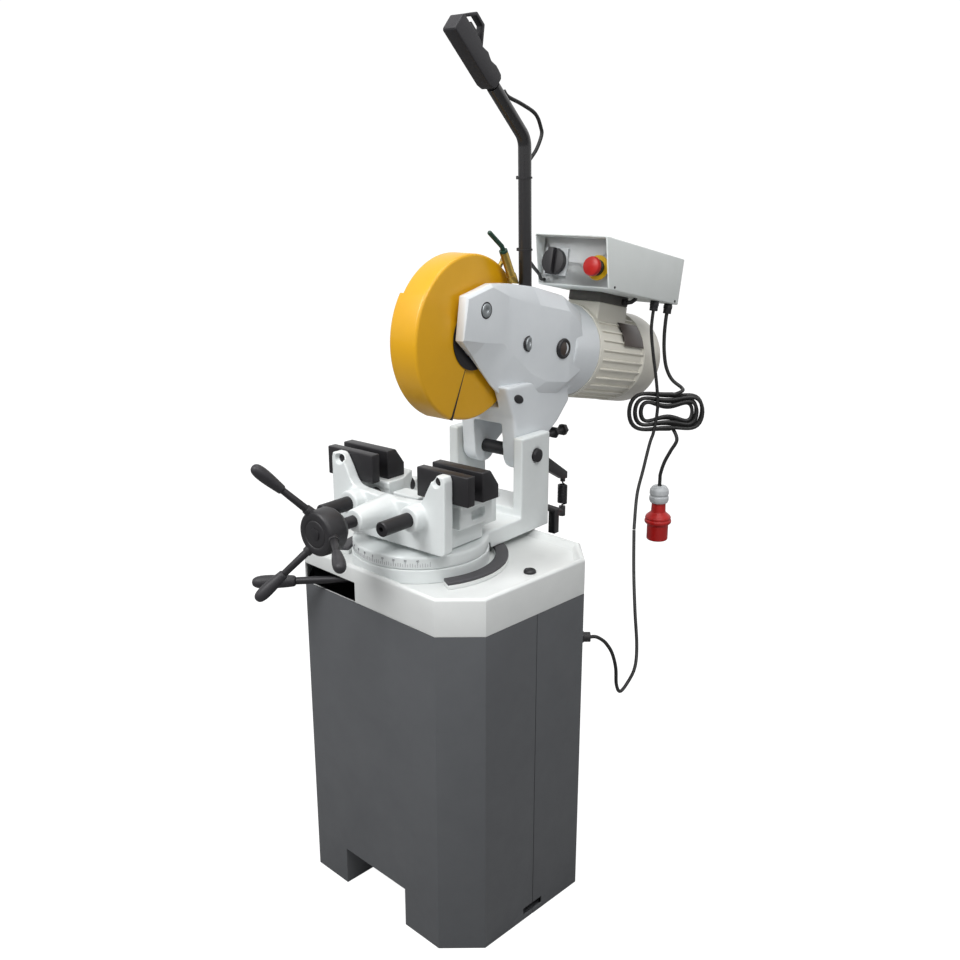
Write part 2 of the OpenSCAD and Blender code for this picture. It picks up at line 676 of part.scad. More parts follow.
module plate_blank() intersection() {
    about_x(arbor_y, arbor_z, nose_in) linear_extrude(plate_t) polygon(case_outline);
    block(nose_in - cut, nose_in + plate_t + cut, 0, case_left, 0, 2 * arbor_z);
}
module bearing_plate() color("gainsboro") saw() difference() {
    union() {
        plate_blank();
        about_x(arbor_y, arbor_z, guard_half) cylinder(r = hub_r, h = nose_in - guard_half + cut);
    }
    about_x(arbor_y, arbor_z, guard_half - cut)
        cylinder(r = bearing_r, h = plate_t + nose_in - guard_half + 2 * cut);
    motor_frame() block(nose_in + plate_t / 2, worm_x + worm_r, arbor_along - worm_front, 0,
        arbor_level + worm_up - worm_r - free_gap, arbor_level + worm_up + worm_r + free_gap);
}
bearing_r = 26;
module arbor_bearing() color("silver") saw() about_x(arbor_y, arbor_z, guard_half)
    ring(bearing_r, arbor_d / 2 + run_gap, nose_in + plate_t - guard_half);
plug_r = 13;
plug_h = 6;
window_r = 22;
plug1_fore = 4;
plug1_up = 60;
plug2_back = 136;
plug2_down = 24;
window_down = 6;
module case_plugs() color("gray") saw() {
    about_x(arbor_y + plug1_fore, arbor_z + plug1_up, nose_face) hex_head(plug_r, plug_h);
    translate([flare_x(arbor_y + plug2_back), arbor_y + plug2_back, arbor_z - plug2_down])
        rotate([0, 0, -flare_turn]) rotate([90, 0, 90]) hex_head(plug_r, plug_h);
    translate([case_half, bell_y - flange_len / 5, bell_z + window_down]) rotate([90, 0, 90])
        cylinder(r = window_r, h = plug_h / 2);
}
flare_turn = atan((case_half - nose_face) / (bell_y - arbor_y - crease));
function flare_x(y) = nose_face + (y - arbor_y - crease) * tan(flare_turn);

// Drive train
module worm_shaft() color("silver") saw() {
    worm_at(arbor_along - worm_front - worm_tip + seat_gap)
        cylinder(r = worm_shaft_r, h = -arbor_along + worm_front);
    worm_at(arbor_along - worm_front + free_gap) cylinder(r = worm_r, h = 2 * worm_front - 2 * free_gap);
    worm_at(-gear_front + free_gap) cylinder(r = lay_gear_r, h = gear_w);
}
module motor_rotor() color("silver") saw() {
    on_motor(-gear_front + free_gap)
        cylinder(r = rotor_shaft_r, h = gear_front + flange_len + motor_len + fan_len / 2);
    on_motor(-gear_front + free_gap) cylinder(r = pinion_r, h = gear_w);
    on_motor(flange_len + shield_t + free_gap)
        cylinder(r = rotor_r, h = motor_len - 2 * shield_t - 2 * free_gap);
    on_motor(flange_len + motor_len + free_gap) cylinder(r = motor_r * fan_share, h = fan_len / 3);
}
shield_t = 14;
rotor_r = 60;
fan_share = 0.8;
module worm_wheel() color("goldenrod") saw() about_x(arbor_y, arbor_z, nose_in + plate_t + free_gap)
    ring(wheel_r, arbor_d / 2, worm_x + worm_r - nose_in - plate_t - 2 * free_gap);
collar_r = 40;
collar_t = 9;
nut_t = 12;
module arbor() color("silver") saw() {
    about_x(arbor_y, arbor_z, -blade_t / 2 - collar_t - nut_t) cylinder(d = arbor_d,
        h = worm_x + worm_r + blade_t / 2 + collar_t + nut_t - free_gap);
    about_x(arbor_y, arbor_z, blade_t / 2) cylinder(r = collar_r, h = collar_t);
    about_x(arbor_y, arbor_z, worm_x) cylinder(r = arbor_tip_r, h = nose_face - worm_x - 2 * cut);
}
module blade() color("lightsteelblue") saw() about_x(arbor_y, arbor_z, -blade_t / 2)
    ring(blade_d / 2, arbor_d / 2, blade_t);
module blade_flange() color("silver") saw() about_x(arbor_y, arbor_z, -blade_t / 2 - collar_t)
    ring(collar_r, arbor_d / 2, collar_t);

// Guards
guard_from = -115;
guard_span = 260;
swing_from = 145;
swing_span = 100;
guard_hole_left = 45;
guard_hole_right = 30;
module guard_shell(r, half, t, hole_l, hole_r, from, span) about_x(arbor_y, arbor_z) rotate([0, 0, from])
    rotate_extrude(angle = span) polygon([[hole_r, half], [r, half], [r, -half], [hole_l, -half],
        [hole_l, t - half], [r - t, t - half], [r - t, half - t], [hole_r, half - t]]);
module upper_guard() color("#e8a33a") saw()
    guard_shell(guard_r, guard_half, guard_t, guard_hole_left, guard_hole_right, guard_from, guard_span);
swing_ring = 12;
ring_proud = 0.6;
module lower_guard() color("#e8a33a") saw() {
    guard_shell(swing_r, swing_half, guard_t, hub_r + swing_ring, hub_r + swing_ring / 2,
        swing_from, swing_span);
    about_x(arbor_y, arbor_z, swing_half - guard_t - ring_proud)
        ring(hub_r + swing_ring, hub_r + run_gap, guard_t + 2 * ring_proud);
}

// Coolant tap on the case top
tap_x = 54;
tap_foot_back = 116;
tap_foot_up = 100;
tap_head_back = 78;
tap_head_up = 172;
tap_foot = [tap_x, arbor_y + tap_foot_back, arbor_z + tap_foot_up];
tap_head = [tap_x, arbor_y + tap_head_back, arbor_z + tap_head_up];
tap_r = 9;
tap_pipe_r = 5;
tap_neck_share = 0.62;
tap_pipe_x = 10;
tap_in_angle = 49;
tap_lever_t = 5;
tap_stem_h = 14;
tap_lever_fore = 22;
tap_lever_rise = 44;
tap_axis = unit(tap_head - tap_foot);
tap_neck = tap_foot + (tap_head - tap_foot) * tap_neck_share;
tap_reach = 27;
function tap_inlet(r) = [tap_pipe_x, arbor_y + r * cos(tap_in_angle), arbor_z + r * sin(tap_in_angle)];
tap_over = tap_inlet(guard_r + tap_reach);
tap_end = tap_inlet(guard_r + seat_gap);
elbow_share = 1.2;
module coolant_tap() color("#b8923c") saw() difference() {
    union() {
        round_bar(tap_r, tap_foot, tap_head);
        round_bar(tap_r * elbow_share, tap_foot, tap_foot + tap_axis * 3 * tap_r);
        round_bar(tap_pipe_r, tap_neck, tap_over);
        translate(tap_over) sphere(r = tap_pipe_r * elbow_share);
        round_bar(tap_pipe_r, tap_over, tap_end);
    }
    about_x(arbor_y, arbor_z, nose_in - cut) linear_extrude(case_half) polygon(case_outline);
}
tap_swing = atan2(-tap_axis[1], tap_axis[2]);
tap_lever_tip = [0, -tap_lever_fore, tap_stem_h + tap_lever_rise];
module tap_lever() color("darkgreen") saw() translate(tap_head + tap_axis * seat_gap)
    rotate([tap_swing, 0, 0]) {
        cylinder(r = tap_r, h = tap_lever_t);
        cylinder(r = tap_pipe_r, h = tap_stem_h);
        translate([0, 0, tap_stem_h]) sphere(r = tap_pipe_r);
        round_bar(tap_pipe_r, [0, 0, tap_stem_h], tap_lever_tip);
        translate(tap_lever_tip) sphere(r = tap_pipe_r);
    }

// Stop bolt and spring lever on the yoke
bolt_back = 92;
bolt_y = pivot_back + bolt_back;
bolt_up = 20;
bolt_z = pivot_z + bolt_up;
bolt_long = 68;
bolt_r = 7;
module stop_bolt() color("#222") saw() difference() {
    along_y(spring_x, bolt_y - bolt_long / 2, bolt_z) {
        cylinder(r = bolt_r, h = 3 * bolt_long / 2);
        translate([0, 0, bolt_long]) hex_head(2 * bolt_r, bolt_r);
        translate([0, 0, 3 * bolt_long / 2]) hex_head(2 * bolt_r, 3 * bolt_r / 2);
    }
    yoke_solid();
}
lever_half = 8;
lever_pin_r = 6;
module spring_lever() color("#222") saw() difference() {
    union() {
        about_x(0, 0, spring_x - lever_half) linear_extrude(2 * lever_half) polygon([
            [pivot_back + lug_r / 2, pivot_z - lug_r / 2], [pivot_back + lug_r, pivot_z + lever_half],
            [spring_y + lever_half, spring_high + 3 * lever_half],
            [spring_y + lever_half, spring_high + lever_half],
            [spring_y - lever_half, spring_high + lever_half]]);
        translate([spring_x, spring_y, spring_high]) cylinder(r = lever_pin_r, h = 2 * lever_half);
    }
    yoke_solid();
}

// Motor behind the gear case
fin_h = 9;
fin_t = 4;
shield_lip = 1.5;
fin_count = 30;
stator_r = rotor_r + cut / 2;
pad_half = 45;
pad_x = 35;
pad_front = 128;
pad_back = 255;
pad_rise = 7;
pad_z = motor_r + fin_h + pad_rise;
module motor_body() color("ivory") saw() difference() {
    union() {
        on_motor(flange_len) cylinder(r = motor_r, h = motor_len);
        for (k = [0 : fin_count - 1]) on_motor(flange_len + shield_t - cut)
            rotate([0, 0, 360 * k / fin_count]) translate([motor_r - fin_h, -fin_t / 2, 0])
                cube([2 * fin_h - shield_lip, fin_t, motor_len - 2 * shield_t + 2 * cut]);
        on_motor(flange_len) cylinder(r = motor_r + fin_h, h = shield_t);
        on_motor(flange_len + motor_len - shield_t) cylinder(r = motor_r + fin_h, h = shield_t);
        motor_frame() block(pad_x - pad_half, pad_x + pad_half, pad_front, pad_back, motor_r / 2, pad_z);
    }
    on_motor(flange_len + shield_t) cylinder(r = stator_r, h = motor_len - 2 * shield_t);
    on_motor(flange_len - cut) cylinder(r = rotor_shaft_r + run_gap, h = motor_len + 2 * cut);
}
cover_t = 2;
grille_r = 5;
cover_round = 25;
cover_r = motor_r + fin_h;
cover_flat = cover_r - cover_round;
module cover_profile(r, far) polygon([[0, 0], [r, 0], [r, fan_len - cover_round],
    [cover_flat + (r - cover_flat) * sqrt(1 / 2), far - cover_round + cover_round * sqrt(1 / 2)],
    [cover_flat, far], [0, far]]);
module fan_cover() color("ivory") saw() on_motor(flange_len + motor_len) difference() {
    rotate_extrude() cover_profile(cover_r, fan_len);
    translate([0, 0, -cut]) rotate_extrude() cover_profile(cover_r - cover_t, fan_len - cover_t);
    for (row = [1 : 3], k = [0 : 6 * row - 1]) rotate([0, 0, 60 * k / row])
        translate([row * motor_r / 4, 0, 0]) cylinder(r = grille_r, h = fan_len + cut);
}
module terminal_box() color("ivory") saw() motor_frame()
    block(pad_x - pad_half, pad_x + pad_half, pad_front, pad_back, pad_z, box_low);

// Control box
box_front = 36;
term_h = 23;
box_low = pad_z + term_h;
box_left = -38;
hood_over = 38;
panel_t = 3;
panel_in = 2;
switch_in = 44;
switch_up = 53;
plate_w = 62;
plate_t2 = 5;
stop_edge = 38;
stop_in = box_w - stop_edge;
stop_up = 46;
collar_d = 56;
collar_h = 14;
stop_travel = 6;
stop_h = 14;
stem_r = 9;
module control_box() color("whitesmoke") saw() motor_frame() difference() {
    about_x(0, 0, box_left) linear_extrude(box_w) polygon([[box_front, box_low], [box_front + box_d, box_low],
        [box_front + box_d, box_low + box_h], [box_front - hood_over, box_low + box_h]]);
    block(box_left + box_wall, box_left + box_w - box_wall, box_front - hood_over - cut,
        box_front + box_d - box_wall, box_low + box_wall, box_low + box_h - box_wall);
    for (y = [gland1_along, gland2_along]) translate([gland_x, y, box_low - cut])
        cylinder(r = cord_d / 2 + free_gap, h = box_wall + 2 * cut);
}
module on_panel(x, z) motor_frame() translate([box_left + x, box_front + panel_in, box_low + z])
    rotate([90, 0, 0]) children();
module control_panel() color("silver") saw() difference() {
    motor_frame() block(box_left + box_wall, box_left + box_w - box_wall, box_front + panel_in,
        box_front + panel_in + panel_t, box_low + box_wall, box_low + box_h - box_wall);
    on_panel(switch_in, switch_up) stem_hole();
    on_panel(stop_in, stop_up) stem_hole();
}
module stem_hole() translate([0, 0, -panel_t - cut]) cylinder(r = stem_r + run_gap, h = panel_t + 2 * cut);
module switch_plate() color("gray") saw() on_panel(switch_in, switch_up) difference() {
    translate([-plate_w / 2, -plate_w / 2, 0]) cube([plate_w, plate_w, plate_t2]);
    translate([0, 0, -cut]) cylinder(r = stem_r + run_gap, h = plate_t2 + 2 * cut);
}
knob_h = 26;
module switch_knob() color("#222") saw() on_panel(switch_in, switch_up) {
    translate([0, 0, -panel_t - panel_in]) cylinder(r = stem_r, h = panel_in + panel_t + plate_t2 + cut);
    translate([0, 0, plate_t2 + seat_gap]) cylinder(d = knob_sw_d, h = knob_h / 2);
    translate([-knob_sw_d / 8, -knob_sw_d / 2, plate_t2 + seat_gap]) cube([knob_sw_d / 4, knob_sw_d, knob_h]);
}
module estop_collar() color("gold") saw() on_panel(stop_in, stop_up)
    ring(collar_d / 2, stem_r + run_gap, collar_h);
module estop_button() color("red") saw() on_panel(stop_in, stop_up) {
    translate([0, 0, -panel_t - panel_in])
        cylinder(r = stem_r, h = panel_in + panel_t + collar_h + stop_travel + cut);
    translate([0, 0, collar_h + stop_travel + seat_gap]) cylinder(d = stop_d, h = stop_h);
}

// Handle, grip and trigger
bend_r = 40;
bend = 48;
arm_end = 124;
grip_wall = 2;
grip_in = 30;
grip_w = 32;
grip_h = 42;
trigger_out = 12;
trigger_travel = 6;
trigger_w = 14;
loop_t = 7;
loop_out = 36;
groove_r = 16;
function on_lean(along) = [tube_x, tube_y - along * sin(tube_lean), tube_foot + along * cos(tube_lean)];
bend_centre = on_lean(tube_up) - bend_r * [0, cos(tube_lean), sin(tube_lean)];
function on_bend(turn) = bend_centre + bend_r * [0, cos(turn), sin(turn)];
grip_at = on_bend(bend) + arm_end * [0, -sin(bend), cos(bend)];
module grip_frame() translate(grip_at) rotate([bend, 0, 0]) children();
bend_rings = 8;
tube_sides = 20;
tube_route = concat([on_lean(0)], [for (i = [0 : bend_rings])
    on_bend(tube_lean + (bend - tube_lean) * i / bend_rings)], [grip_at]);
module handle_tube() color("#222") saw() swept(tube_route, tube_d / 2, tube_sides);
grip_body = grip_len - grip_in;
loop_end_share = 0.93;
loop_start_share = 0.5;
loop_low_share = 0.61;
loop_high_share = 0.8;
loop_y = grip_h / 2;
loop_start = grip_body * loop_start_share;
loop_low = grip_body * loop_low_share;
loop_high = grip_body * loop_high_share;
loop_end = grip_body * loop_end_share;
module loop_side(w, shape) rotate([90, 0, 90]) translate([0, 0, -w / 2]) linear_extrude(w) polygon(shape);
module grip() color("#1c1c1c") saw() grip_frame() difference() {
    union() {
        translate([0, 0, -grip_in]) cylinder(d = tube_d + 2 * grip_wall, h = grip_in + cut);
        block(-grip_w / 2, grip_w / 2, -grip_h / 2, grip_h / 2, 0, grip_body);
        loop_side(trigger_w, [[loop_y - cut, loop_start - loop_t], [loop_y + loop_out, loop_low],
            [loop_y + loop_out, loop_high], [loop_y - cut, loop_end + loop_t]]);
    }
    translate([0, 0, -grip_in - cut]) cylinder(d = tube_d + 2 * run_gap, h = grip_in + cut);
    loop_side(2 * grip_w, [[loop_y, loop_start], [loop_y + loop_out - loop_t, loop_low + loop_t / 2],
        [loop_y + loop_out - loop_t, loop_high - loop_t / 2], [loop_y, loop_end]]);
    block(-trigger_w / 2 - run_gap, trigger_w / 2 + run_gap, 0, grip_h, loop_low, loop_high);
    for (k = [1 : 2]) translate([0, grip_h / 2 + groove_r - fin_t, loop_start * k / 3])
        rotate([0, 90, 0]) cylinder(r = groove_r, h = 2 * grip_w, center = true);
}
module trigger() color("#333") saw() grip_frame()
    block(-trigger_w / 2, trigger_w / 2, trigger_travel + cut, grip_h / 2 + trigger_out,
        loop_low + seat_gap, loop_high - seat_gap);

// Cords: each route is in reaches from where the cord leaves the machine
route_steps = 4;
cord_sides = 8;
hank_sides = 6;
function along(from, reach) = [for (q = reach) from + q];
function on_slope(x, y, z) = [x, bell_y + y * cos(motor_tilt) + z * sin(motor_tilt),
    bell_z - y * sin(motor_tilt) + z * cos(motor_tilt)];
cable_r = 4;
cable_out = 18.9;
cable_lip = 0.5;
cable_first = grip_at + cable_out * [0, cos(bend), sin(bend)]
    + (grip_in + cable_lip) * [0, sin(bend), -cos(bend)];
cable_reach = [[0, 13.5, -10.5], [0, 57.5, -22], [0, 106, -39.5], [0, 126, -66], [0, 128, -82],
    [-3, 114.5, -110], [-10, 96, -136], [-13.3, 91.5, -157], [-13.3, 90.5, -212], [-13.3, 90.5, -282],
    [-14.5, 93.5, -322], [-20, 121, -342.5], [-44, 169, -359.5], [-68, 222, -379]];
cable_in = 16;
cable_up = 11;
cable_seat = 0.8;
cable_lead = 14;
function at_panel(out) = on_slope(box_left + cable_in, box_front + panel_in - out, box_low + cable_up);
cable_route = concat([cable_first], along(cable_first, cable_reach),
    [at_panel(cable_lead), at_panel(cable_seat)]);
module trigger_cable() color("black") saw() swept(smooth(cable_route, route_steps), cable_r, cord_sides);
gland_in = 18;
gland_x = box_left + box_w - gland_in;
gland1_along = 277;
gland2_along = 345;
cord_gland_r = 10;
cord_gland_h = 24;
mouth_r = 8;
mouth_h = 3.7;
mouth_seat = 2.7;
module cord_glands() color("black") saw() motor_frame() for (y = [gland1_along, gland2_along])
    translate([gland_x, y, box_low - cord_gland_h]) difference() {
        union() {
            cylinder(r = cord_gland_r, h = cord_gland_h);
            translate([0, 0, cord_gland_h / 2]) hex_head(cord_gland_r + cord_gland_r / 4, cord_gland_h / 3);
            cylinder(r = cord_d / 2 + cut, h = cord_gland_h + box_wall);
        }
        translate([0, 0, -cut]) cylinder(r = cord_d / 2 + run_gap, h = cord_gland_h + box_wall + 2 * cut);
        translate([0, 0, -cut]) cylinder(r = mouth_r, h = mouth_h + cut);
    }
lead_exit = on_slope(gland_x, gland1_along, box_low - cord_gland_h + mouth_seat);
power_exit = on_slope(gland_x, gland2_along, box_low - cord_gland_h + mouth_seat);
// The hank: loops drawn in at the waist, spiralling in on one layer and out again on the next
hank_reach = [35, -36.5, -239.5];
hank_centre = power_exit + hank_reach;
hank_turn = 39;
hank_turns = 5.5;
loop_rings = 24;
hank_half = 62;
hank_waist = 10;
hank_bulge = 40;
hank_step = 14.5;
hank_layer = 6;
spiral_turns = (hank_turns - 0.5) / 2;
function hank_at(q) = hank_centre + [q[0] * cos(hank_turn) - q[1] * sin(hank_turn),
    q[0] * sin(hank_turn) + q[1] * cos(hank_turn), q[2]];
function hank_out(u) = hank_step * (u < spiral_turns ? spiral_turns - u :
    u < spiral_turns + 0.5 ? 0 : u - spiral_turns - 0.5);
function hank_rise(u) = hank_layer * (u < spiral_turns ? -1 : u < spiral_turns + 0.5 ?
    -cos(360 * (u - spiral_turns)) : 1);
function hank_loop(u) = let (t = 90 + 360 * u, o = hank_out(u)) [(hank_half + o) * cos(t), hank_rise(u),
    sin(t) * (hank_waist + hank_bulge * cos(t) * cos(t) + o)];
hank_core = [for (i = [0 : hank_turns * loop_rings]) hank_loop(i / loop_rings)];
hank_first = hank_core[0] + [cord_d, 0, 0];
hank_last = hank_core[len(hank_core) - 1] + [cord_d, 0, 0];
hank_points = concat([hank_first], hank_core, [hank_last]);
far_apart = loop_rings / 2;
hank_gap = min([for (i = [0 : len(hank_core) - 1], j = [i + far_apart : 1 : len(hank_core) - 1])
    norm(hank_core[i] - hank_core[j])]) - cord_d;
echo(hank_gap = hank_gap);
module cord_hank() color("#222") saw() swept([for (q = hank_points) hank_at(q)], cord_d / 2, hank_sides);
run_in = [25, 0, 8];
turn_in = [9, 0, 0];
power_reach = [[0, 0, 0], [0, -4.5, -19.5], [0, -7.5, -54.5], [3, -9.5, -94.5], [10, -7.5, -134.5],
    [25, -2.5, -164.5], [50, 2.5, -182.5]];
power_route = concat(along(power_exit, power_reach),
    [hank_at(hank_first + run_in), hank_at(hank_first + turn_in), hank_at(hank_first)]);
module power_cord() color("#222") saw() swept(smooth(power_route, route_steps), cord_d / 2, cord_sides);
plug_reach = [28, -42.5, -431.5];
plug_top = power_exit + plug_reach;
tail_reach = [[60, -24.5, -310.5], [48, -31.5, -339.5], [36, -38.5, -369.5], [29, -42.5, -399.5],
    [28, -42.5, -416.5], plug_reach];
tail_route = concat([hank_at(hank_last), hank_at(hank_last + turn_in)], along(power_exit, tail_reach));
module cord_tail() color("#222") saw() swept(smooth(tail_route, route_steps), cord_d / 2, cord_sides);
plug_body_r = 27;
plug_body_h = 43;
plug_shoulder_r = 34;
plug_shoulder_h = 18;
plug_slope_h = 11;
plug_neck_r = 18;
plug_neck_h = 30;
plug_nut_r = 25;
plug_nut_h = 42;
plug_cuts = [0, plug_body_h, plug_shoulder_h, plug_slope_h, plug_neck_h, plug_nut_h];
function plug_up(i) = i == 0 ? 0 : plug_up(i - 1) + plug_cuts[i];
module plug() color("firebrick") saw() translate(plug_top - [0, 0, plug_up(5)]) rotate_extrude() polygon([
    [0, 0], [plug_body_r, 0], [plug_body_r, plug_up(1)], [plug_shoulder_r, plug_up(1)],
    [plug_shoulder_r, plug_up(2)], [plug_neck_r, plug_up(3)], [plug_neck_r, plug_up(4)],
    [plug_nut_r, plug_up(4)], [plug_nut_r, plug_up(5)], [0, plug_up(5)]]);
upper_reach = [[0, 0, 0], [0, -4, -20], [1, -7, -53], [8, -5, -108], [18, -1, -173], [24, 1, -238],
    [21, -7, -298], [18, -19, -328], [19, -47, -390], [23, -78, -447], [43, -119, -521]];
module pump_lead_upper() color("#222") saw()
    swept(smooth(along(lead_exit, upper_reach), route_steps), lead_d / 2, cord_sides);
gland_out = gland_len / sqrt(2);
gland_tip = [cab_w / 2 - cab_corner / 2 + gland_out, cab_d / 2 - cab_corner / 2 + gland_out, gland_z];
lower_reach = [[0, 0, 0], [9, 9, 0], [16.4, 21.4, -9], [18.4, 37.4, -25], [21.4, 54.4, -52],
    [25.4, 64.4, -90], [14.4, 84.4, -142], [3.4, 114.4, -176], [-3.6, 149.4, -173],
    [-3.6, 179.4, -142], [-21.6, 209.4, -100], [-52.6, 239.4, -28], [-89.6, 279.4, 53], [-122.6, 319.4, 138]];
module pump_lead_lower() color("#222")
    swept(smooth(along(gland_tip, lower_reach), route_steps), lead_d / 2, cord_sides);

cabinet_front();
cabinet_rear();
coolant_tank();
coolant_pump();
pump_gland();
tray();
tray_plug();
swivel_track();
base_ring();
vise_body();
rear_jaw_plates();
guide_rods();
lock_lever();
lock_grip();
swivel_arm();
pivot_shaft();
spring_anchor();
return_spring();
front_jaw();
front_jaw_plates();
vise_screw();
capstan_hub();
capstan_spokes();
capstan_grips();
gear_case();
bearing_plate();
case_plugs();
arbor_bearing();
motor_body();
fan_cover();
motor_rotor();
worm_shaft();
worm_wheel();
arbor();
blade();
blade_flange();
upper_guard();
lower_guard();
coolant_tap();
tap_lever();
stop_bolt();
spring_lever();
terminal_box();
control_box();
control_panel();
switch_plate();
switch_knob();
estop_collar();
estop_button();
handle_tube();
grip();
trigger();
trigger_cable();
cord_glands();
power_cord();
cord_hank();
cord_tail();
plug();
pump_lead_upper();
pump_lead_lower();
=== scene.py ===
# %% [markdown]
# # A cold saw on its cabinet stand
# A cold saw cuts bar and tube with a slow toothed blade. A sheet cabinet carries a cast tray, a turntable with a
# vise, and a head that swings down about one shaft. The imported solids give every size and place, so this lesson
# only dresses them: it softens castings, rounds sheet, turns knobs, lays cords and mixes finishes.

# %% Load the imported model
import json
from itertools import chain
from math import cos, pi, radians, sin

import bpy
from mathutils import Matrix, Vector


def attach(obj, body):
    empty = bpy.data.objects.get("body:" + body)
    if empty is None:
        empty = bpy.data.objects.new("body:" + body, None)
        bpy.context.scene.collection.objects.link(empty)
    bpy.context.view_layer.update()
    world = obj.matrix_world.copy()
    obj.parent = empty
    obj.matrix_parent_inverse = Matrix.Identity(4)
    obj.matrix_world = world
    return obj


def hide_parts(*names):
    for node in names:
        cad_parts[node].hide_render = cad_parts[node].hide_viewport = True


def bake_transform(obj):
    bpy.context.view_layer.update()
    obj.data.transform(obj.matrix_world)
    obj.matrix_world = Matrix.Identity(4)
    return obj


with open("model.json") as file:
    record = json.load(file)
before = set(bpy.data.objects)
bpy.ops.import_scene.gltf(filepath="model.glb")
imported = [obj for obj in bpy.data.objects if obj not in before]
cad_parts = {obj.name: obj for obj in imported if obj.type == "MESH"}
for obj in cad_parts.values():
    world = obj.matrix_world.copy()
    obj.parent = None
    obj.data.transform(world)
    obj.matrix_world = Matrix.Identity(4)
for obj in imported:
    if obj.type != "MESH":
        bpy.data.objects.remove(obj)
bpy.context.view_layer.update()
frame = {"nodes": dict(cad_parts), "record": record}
nodes = frame["nodes"]
body_of = {node: body for body, members in frame["record"]["behaviour"]["bodies"].items() for node in members}

# %% [markdown]
# ## Places
# The saw is set a few degrees askew on its stand, the motor slopes with the gear case, and the grip leans with its
# tube. A matrix for each of these places lets a piece be modelled square, in millimetres, and then set down.

# %% The local frames
MM = 0.001
BED_Z = 957
FLOOR_Z = 786
DIAL_Z = 815.3
TURN_FRONT = 65
SET_ANGLE = 5
MOTOR_TILT = 11.5
GRIP_LEAN = 48
ARBOR = (0, 133, 1245)
BELL = (0, 395, 1193)
GRIP_FOOT = (60, 165.62, 1738.47)


def shift(x, y, z):
    return Matrix.Translation((x * MM, y * MM, z * MM))


STAND = Matrix.Identity(4)
SAW = shift(0, -TURN_FRONT, 0) @ Matrix.Rotation(radians(SET_ANGLE), 4, "Z")
MOTOR = SAW @ shift(*BELL) @ Matrix.Rotation(radians(-MOTOR_TILT), 4, "X")
GRIP = SAW @ shift(*GRIP_FOOT) @ Matrix.Rotation(radians(GRIP_LEAN), 4, "X")
ACROSS = Matrix(((0, 0, 1, 0), (1, 0, 0, 0), (0, 1, 0, 0), (0, 0, 0, 1)))
BACK = Matrix.Rotation(radians(-90), 4, "X")
UPRIGHT = Matrix.Rotation(radians(90), 4, "X")
print("saw axis at", [round(v, 3) for v in SAW.translation])

# %% [markdown]
# ## The camera
# The photograph looks down a little from the front right. The camera is set first, because cords are judged by
# what it sees.

# %% Set the camera
CAMERA_AT = (1.5363, -1.4581, 1.5781)
CAMERA_TURN = (73.39, 0, 44.317)
CAMERA_LENS = 38.76
camera = bpy.data.objects.new("camera", bpy.data.cameras.new("camera"))
bpy.context.scene.collection.objects.link(camera)
camera.location = CAMERA_AT
camera.rotation_euler = [radians(turn) for turn in CAMERA_TURN]
camera.data.lens = CAMERA_LENS
bpy.context.scene.camera = camera
print("camera looks along", [round(v, 2) for v in camera.rotation_euler.to_matrix() @ Vector((0, 0, -1))])

# %% [markdown]
# ## Finishes
# Every finish starts from the real one: powder coat, gloss enamel over cast iron, black oxide, moulded plastic,
# ground steel. One small function adds a node with its settings and links. Patterns read Object coordinates in
# metres, so a scale is one over a real size.


# %% A node, a colour and an empty finish
def add(tree, kind, inputs=None, **settings):
    made = tree.nodes.new("ShaderNode" + kind)
    for name, value in settings.items():
        setattr(made, name, value)
    for socket, value in (inputs or {}).items():
        if isinstance(value, bpy.types.NodeSocket):
            tree.links.new(value, made.inputs[socket])
        else:
            made.inputs[socket].default_value = value
    return made


def linear(colour):
    parts = [int(colour[i:i + 2], 16) / 255 for i in (1, 3, 5)]
    return [c / 12.92 if c <= 0.04045 else ((c + 0.055) / 1.055) ** 2.4 for c in parts] + [1]


def per(size):
    return 1 / (size * MM)


def blank_finish(name, **values):
    finish = bpy.data.materials.new(name)
    finish.use_nodes = True
    tree = finish.node_tree
    tree.nodes.clear()
    shader = add(tree, "BsdfPrincipled", values)
    add(tree, "OutputMaterial", {"Surface": shader.outputs[0]})
    return finish, tree, shader, add(tree, "TexCoord").outputs["Object"]


def sheen_band(tree, shader, height, low, high):
    band = add(tree, "MapRange", {"Value": height, "To Min": low, "To Max": high})
    tree.links.new(band.outputs[0], shader.inputs["Roughness"])


def relief(tree, shader, height, depth, strength):
    bump = add(tree, "Bump", {"Height": height, "Distance": depth * MM, "Strength": strength})
    tree.links.new(bump.outputs[0], shader.inputs["Normal"])


# %% [markdown]
# ## Paint
# Paint on a workshop machine is never one flat colour: a spray gun leaves slow drifts over a hand's width, oily
# hands dull it in patches, and the skin dries to orange peel. Powder coat has a coarser, drier peel than enamel.
# The real peel is under a millimetre and would not show, so it is drawn two to three times as coarse.


# %% Mix a paint
def paint(name, colour, drift, peel, peel_depth, gloss, coat=0.0, hand=90):
    finish, tree, shader, spot = blank_finish(name, **{"IOR": 1.5, "Coat Weight": coat, "Coat Roughness": 0.15})
    slow = add(tree, "TexNoise", {"Vector": spot, "Scale": per(hand), "Detail": 5, "Roughness": 0.6})
    fine = add(tree, "TexNoise", {"Vector": spot, "Scale": per(peel), "Detail": 2})
    tone = add(tree, "Mix", {0: slow.outputs[0], 6: linear(drift), 7: linear(colour)}, data_type="RGBA")
    tree.links.new(tone.outputs[2], shader.inputs["Base Color"])
    sheen_band(tree, shader, slow.outputs[0], gloss + 0.1, gloss - 0.08)
    relief(tree, shader, fine.outputs[0], peel_depth, 0.35)
    return finish


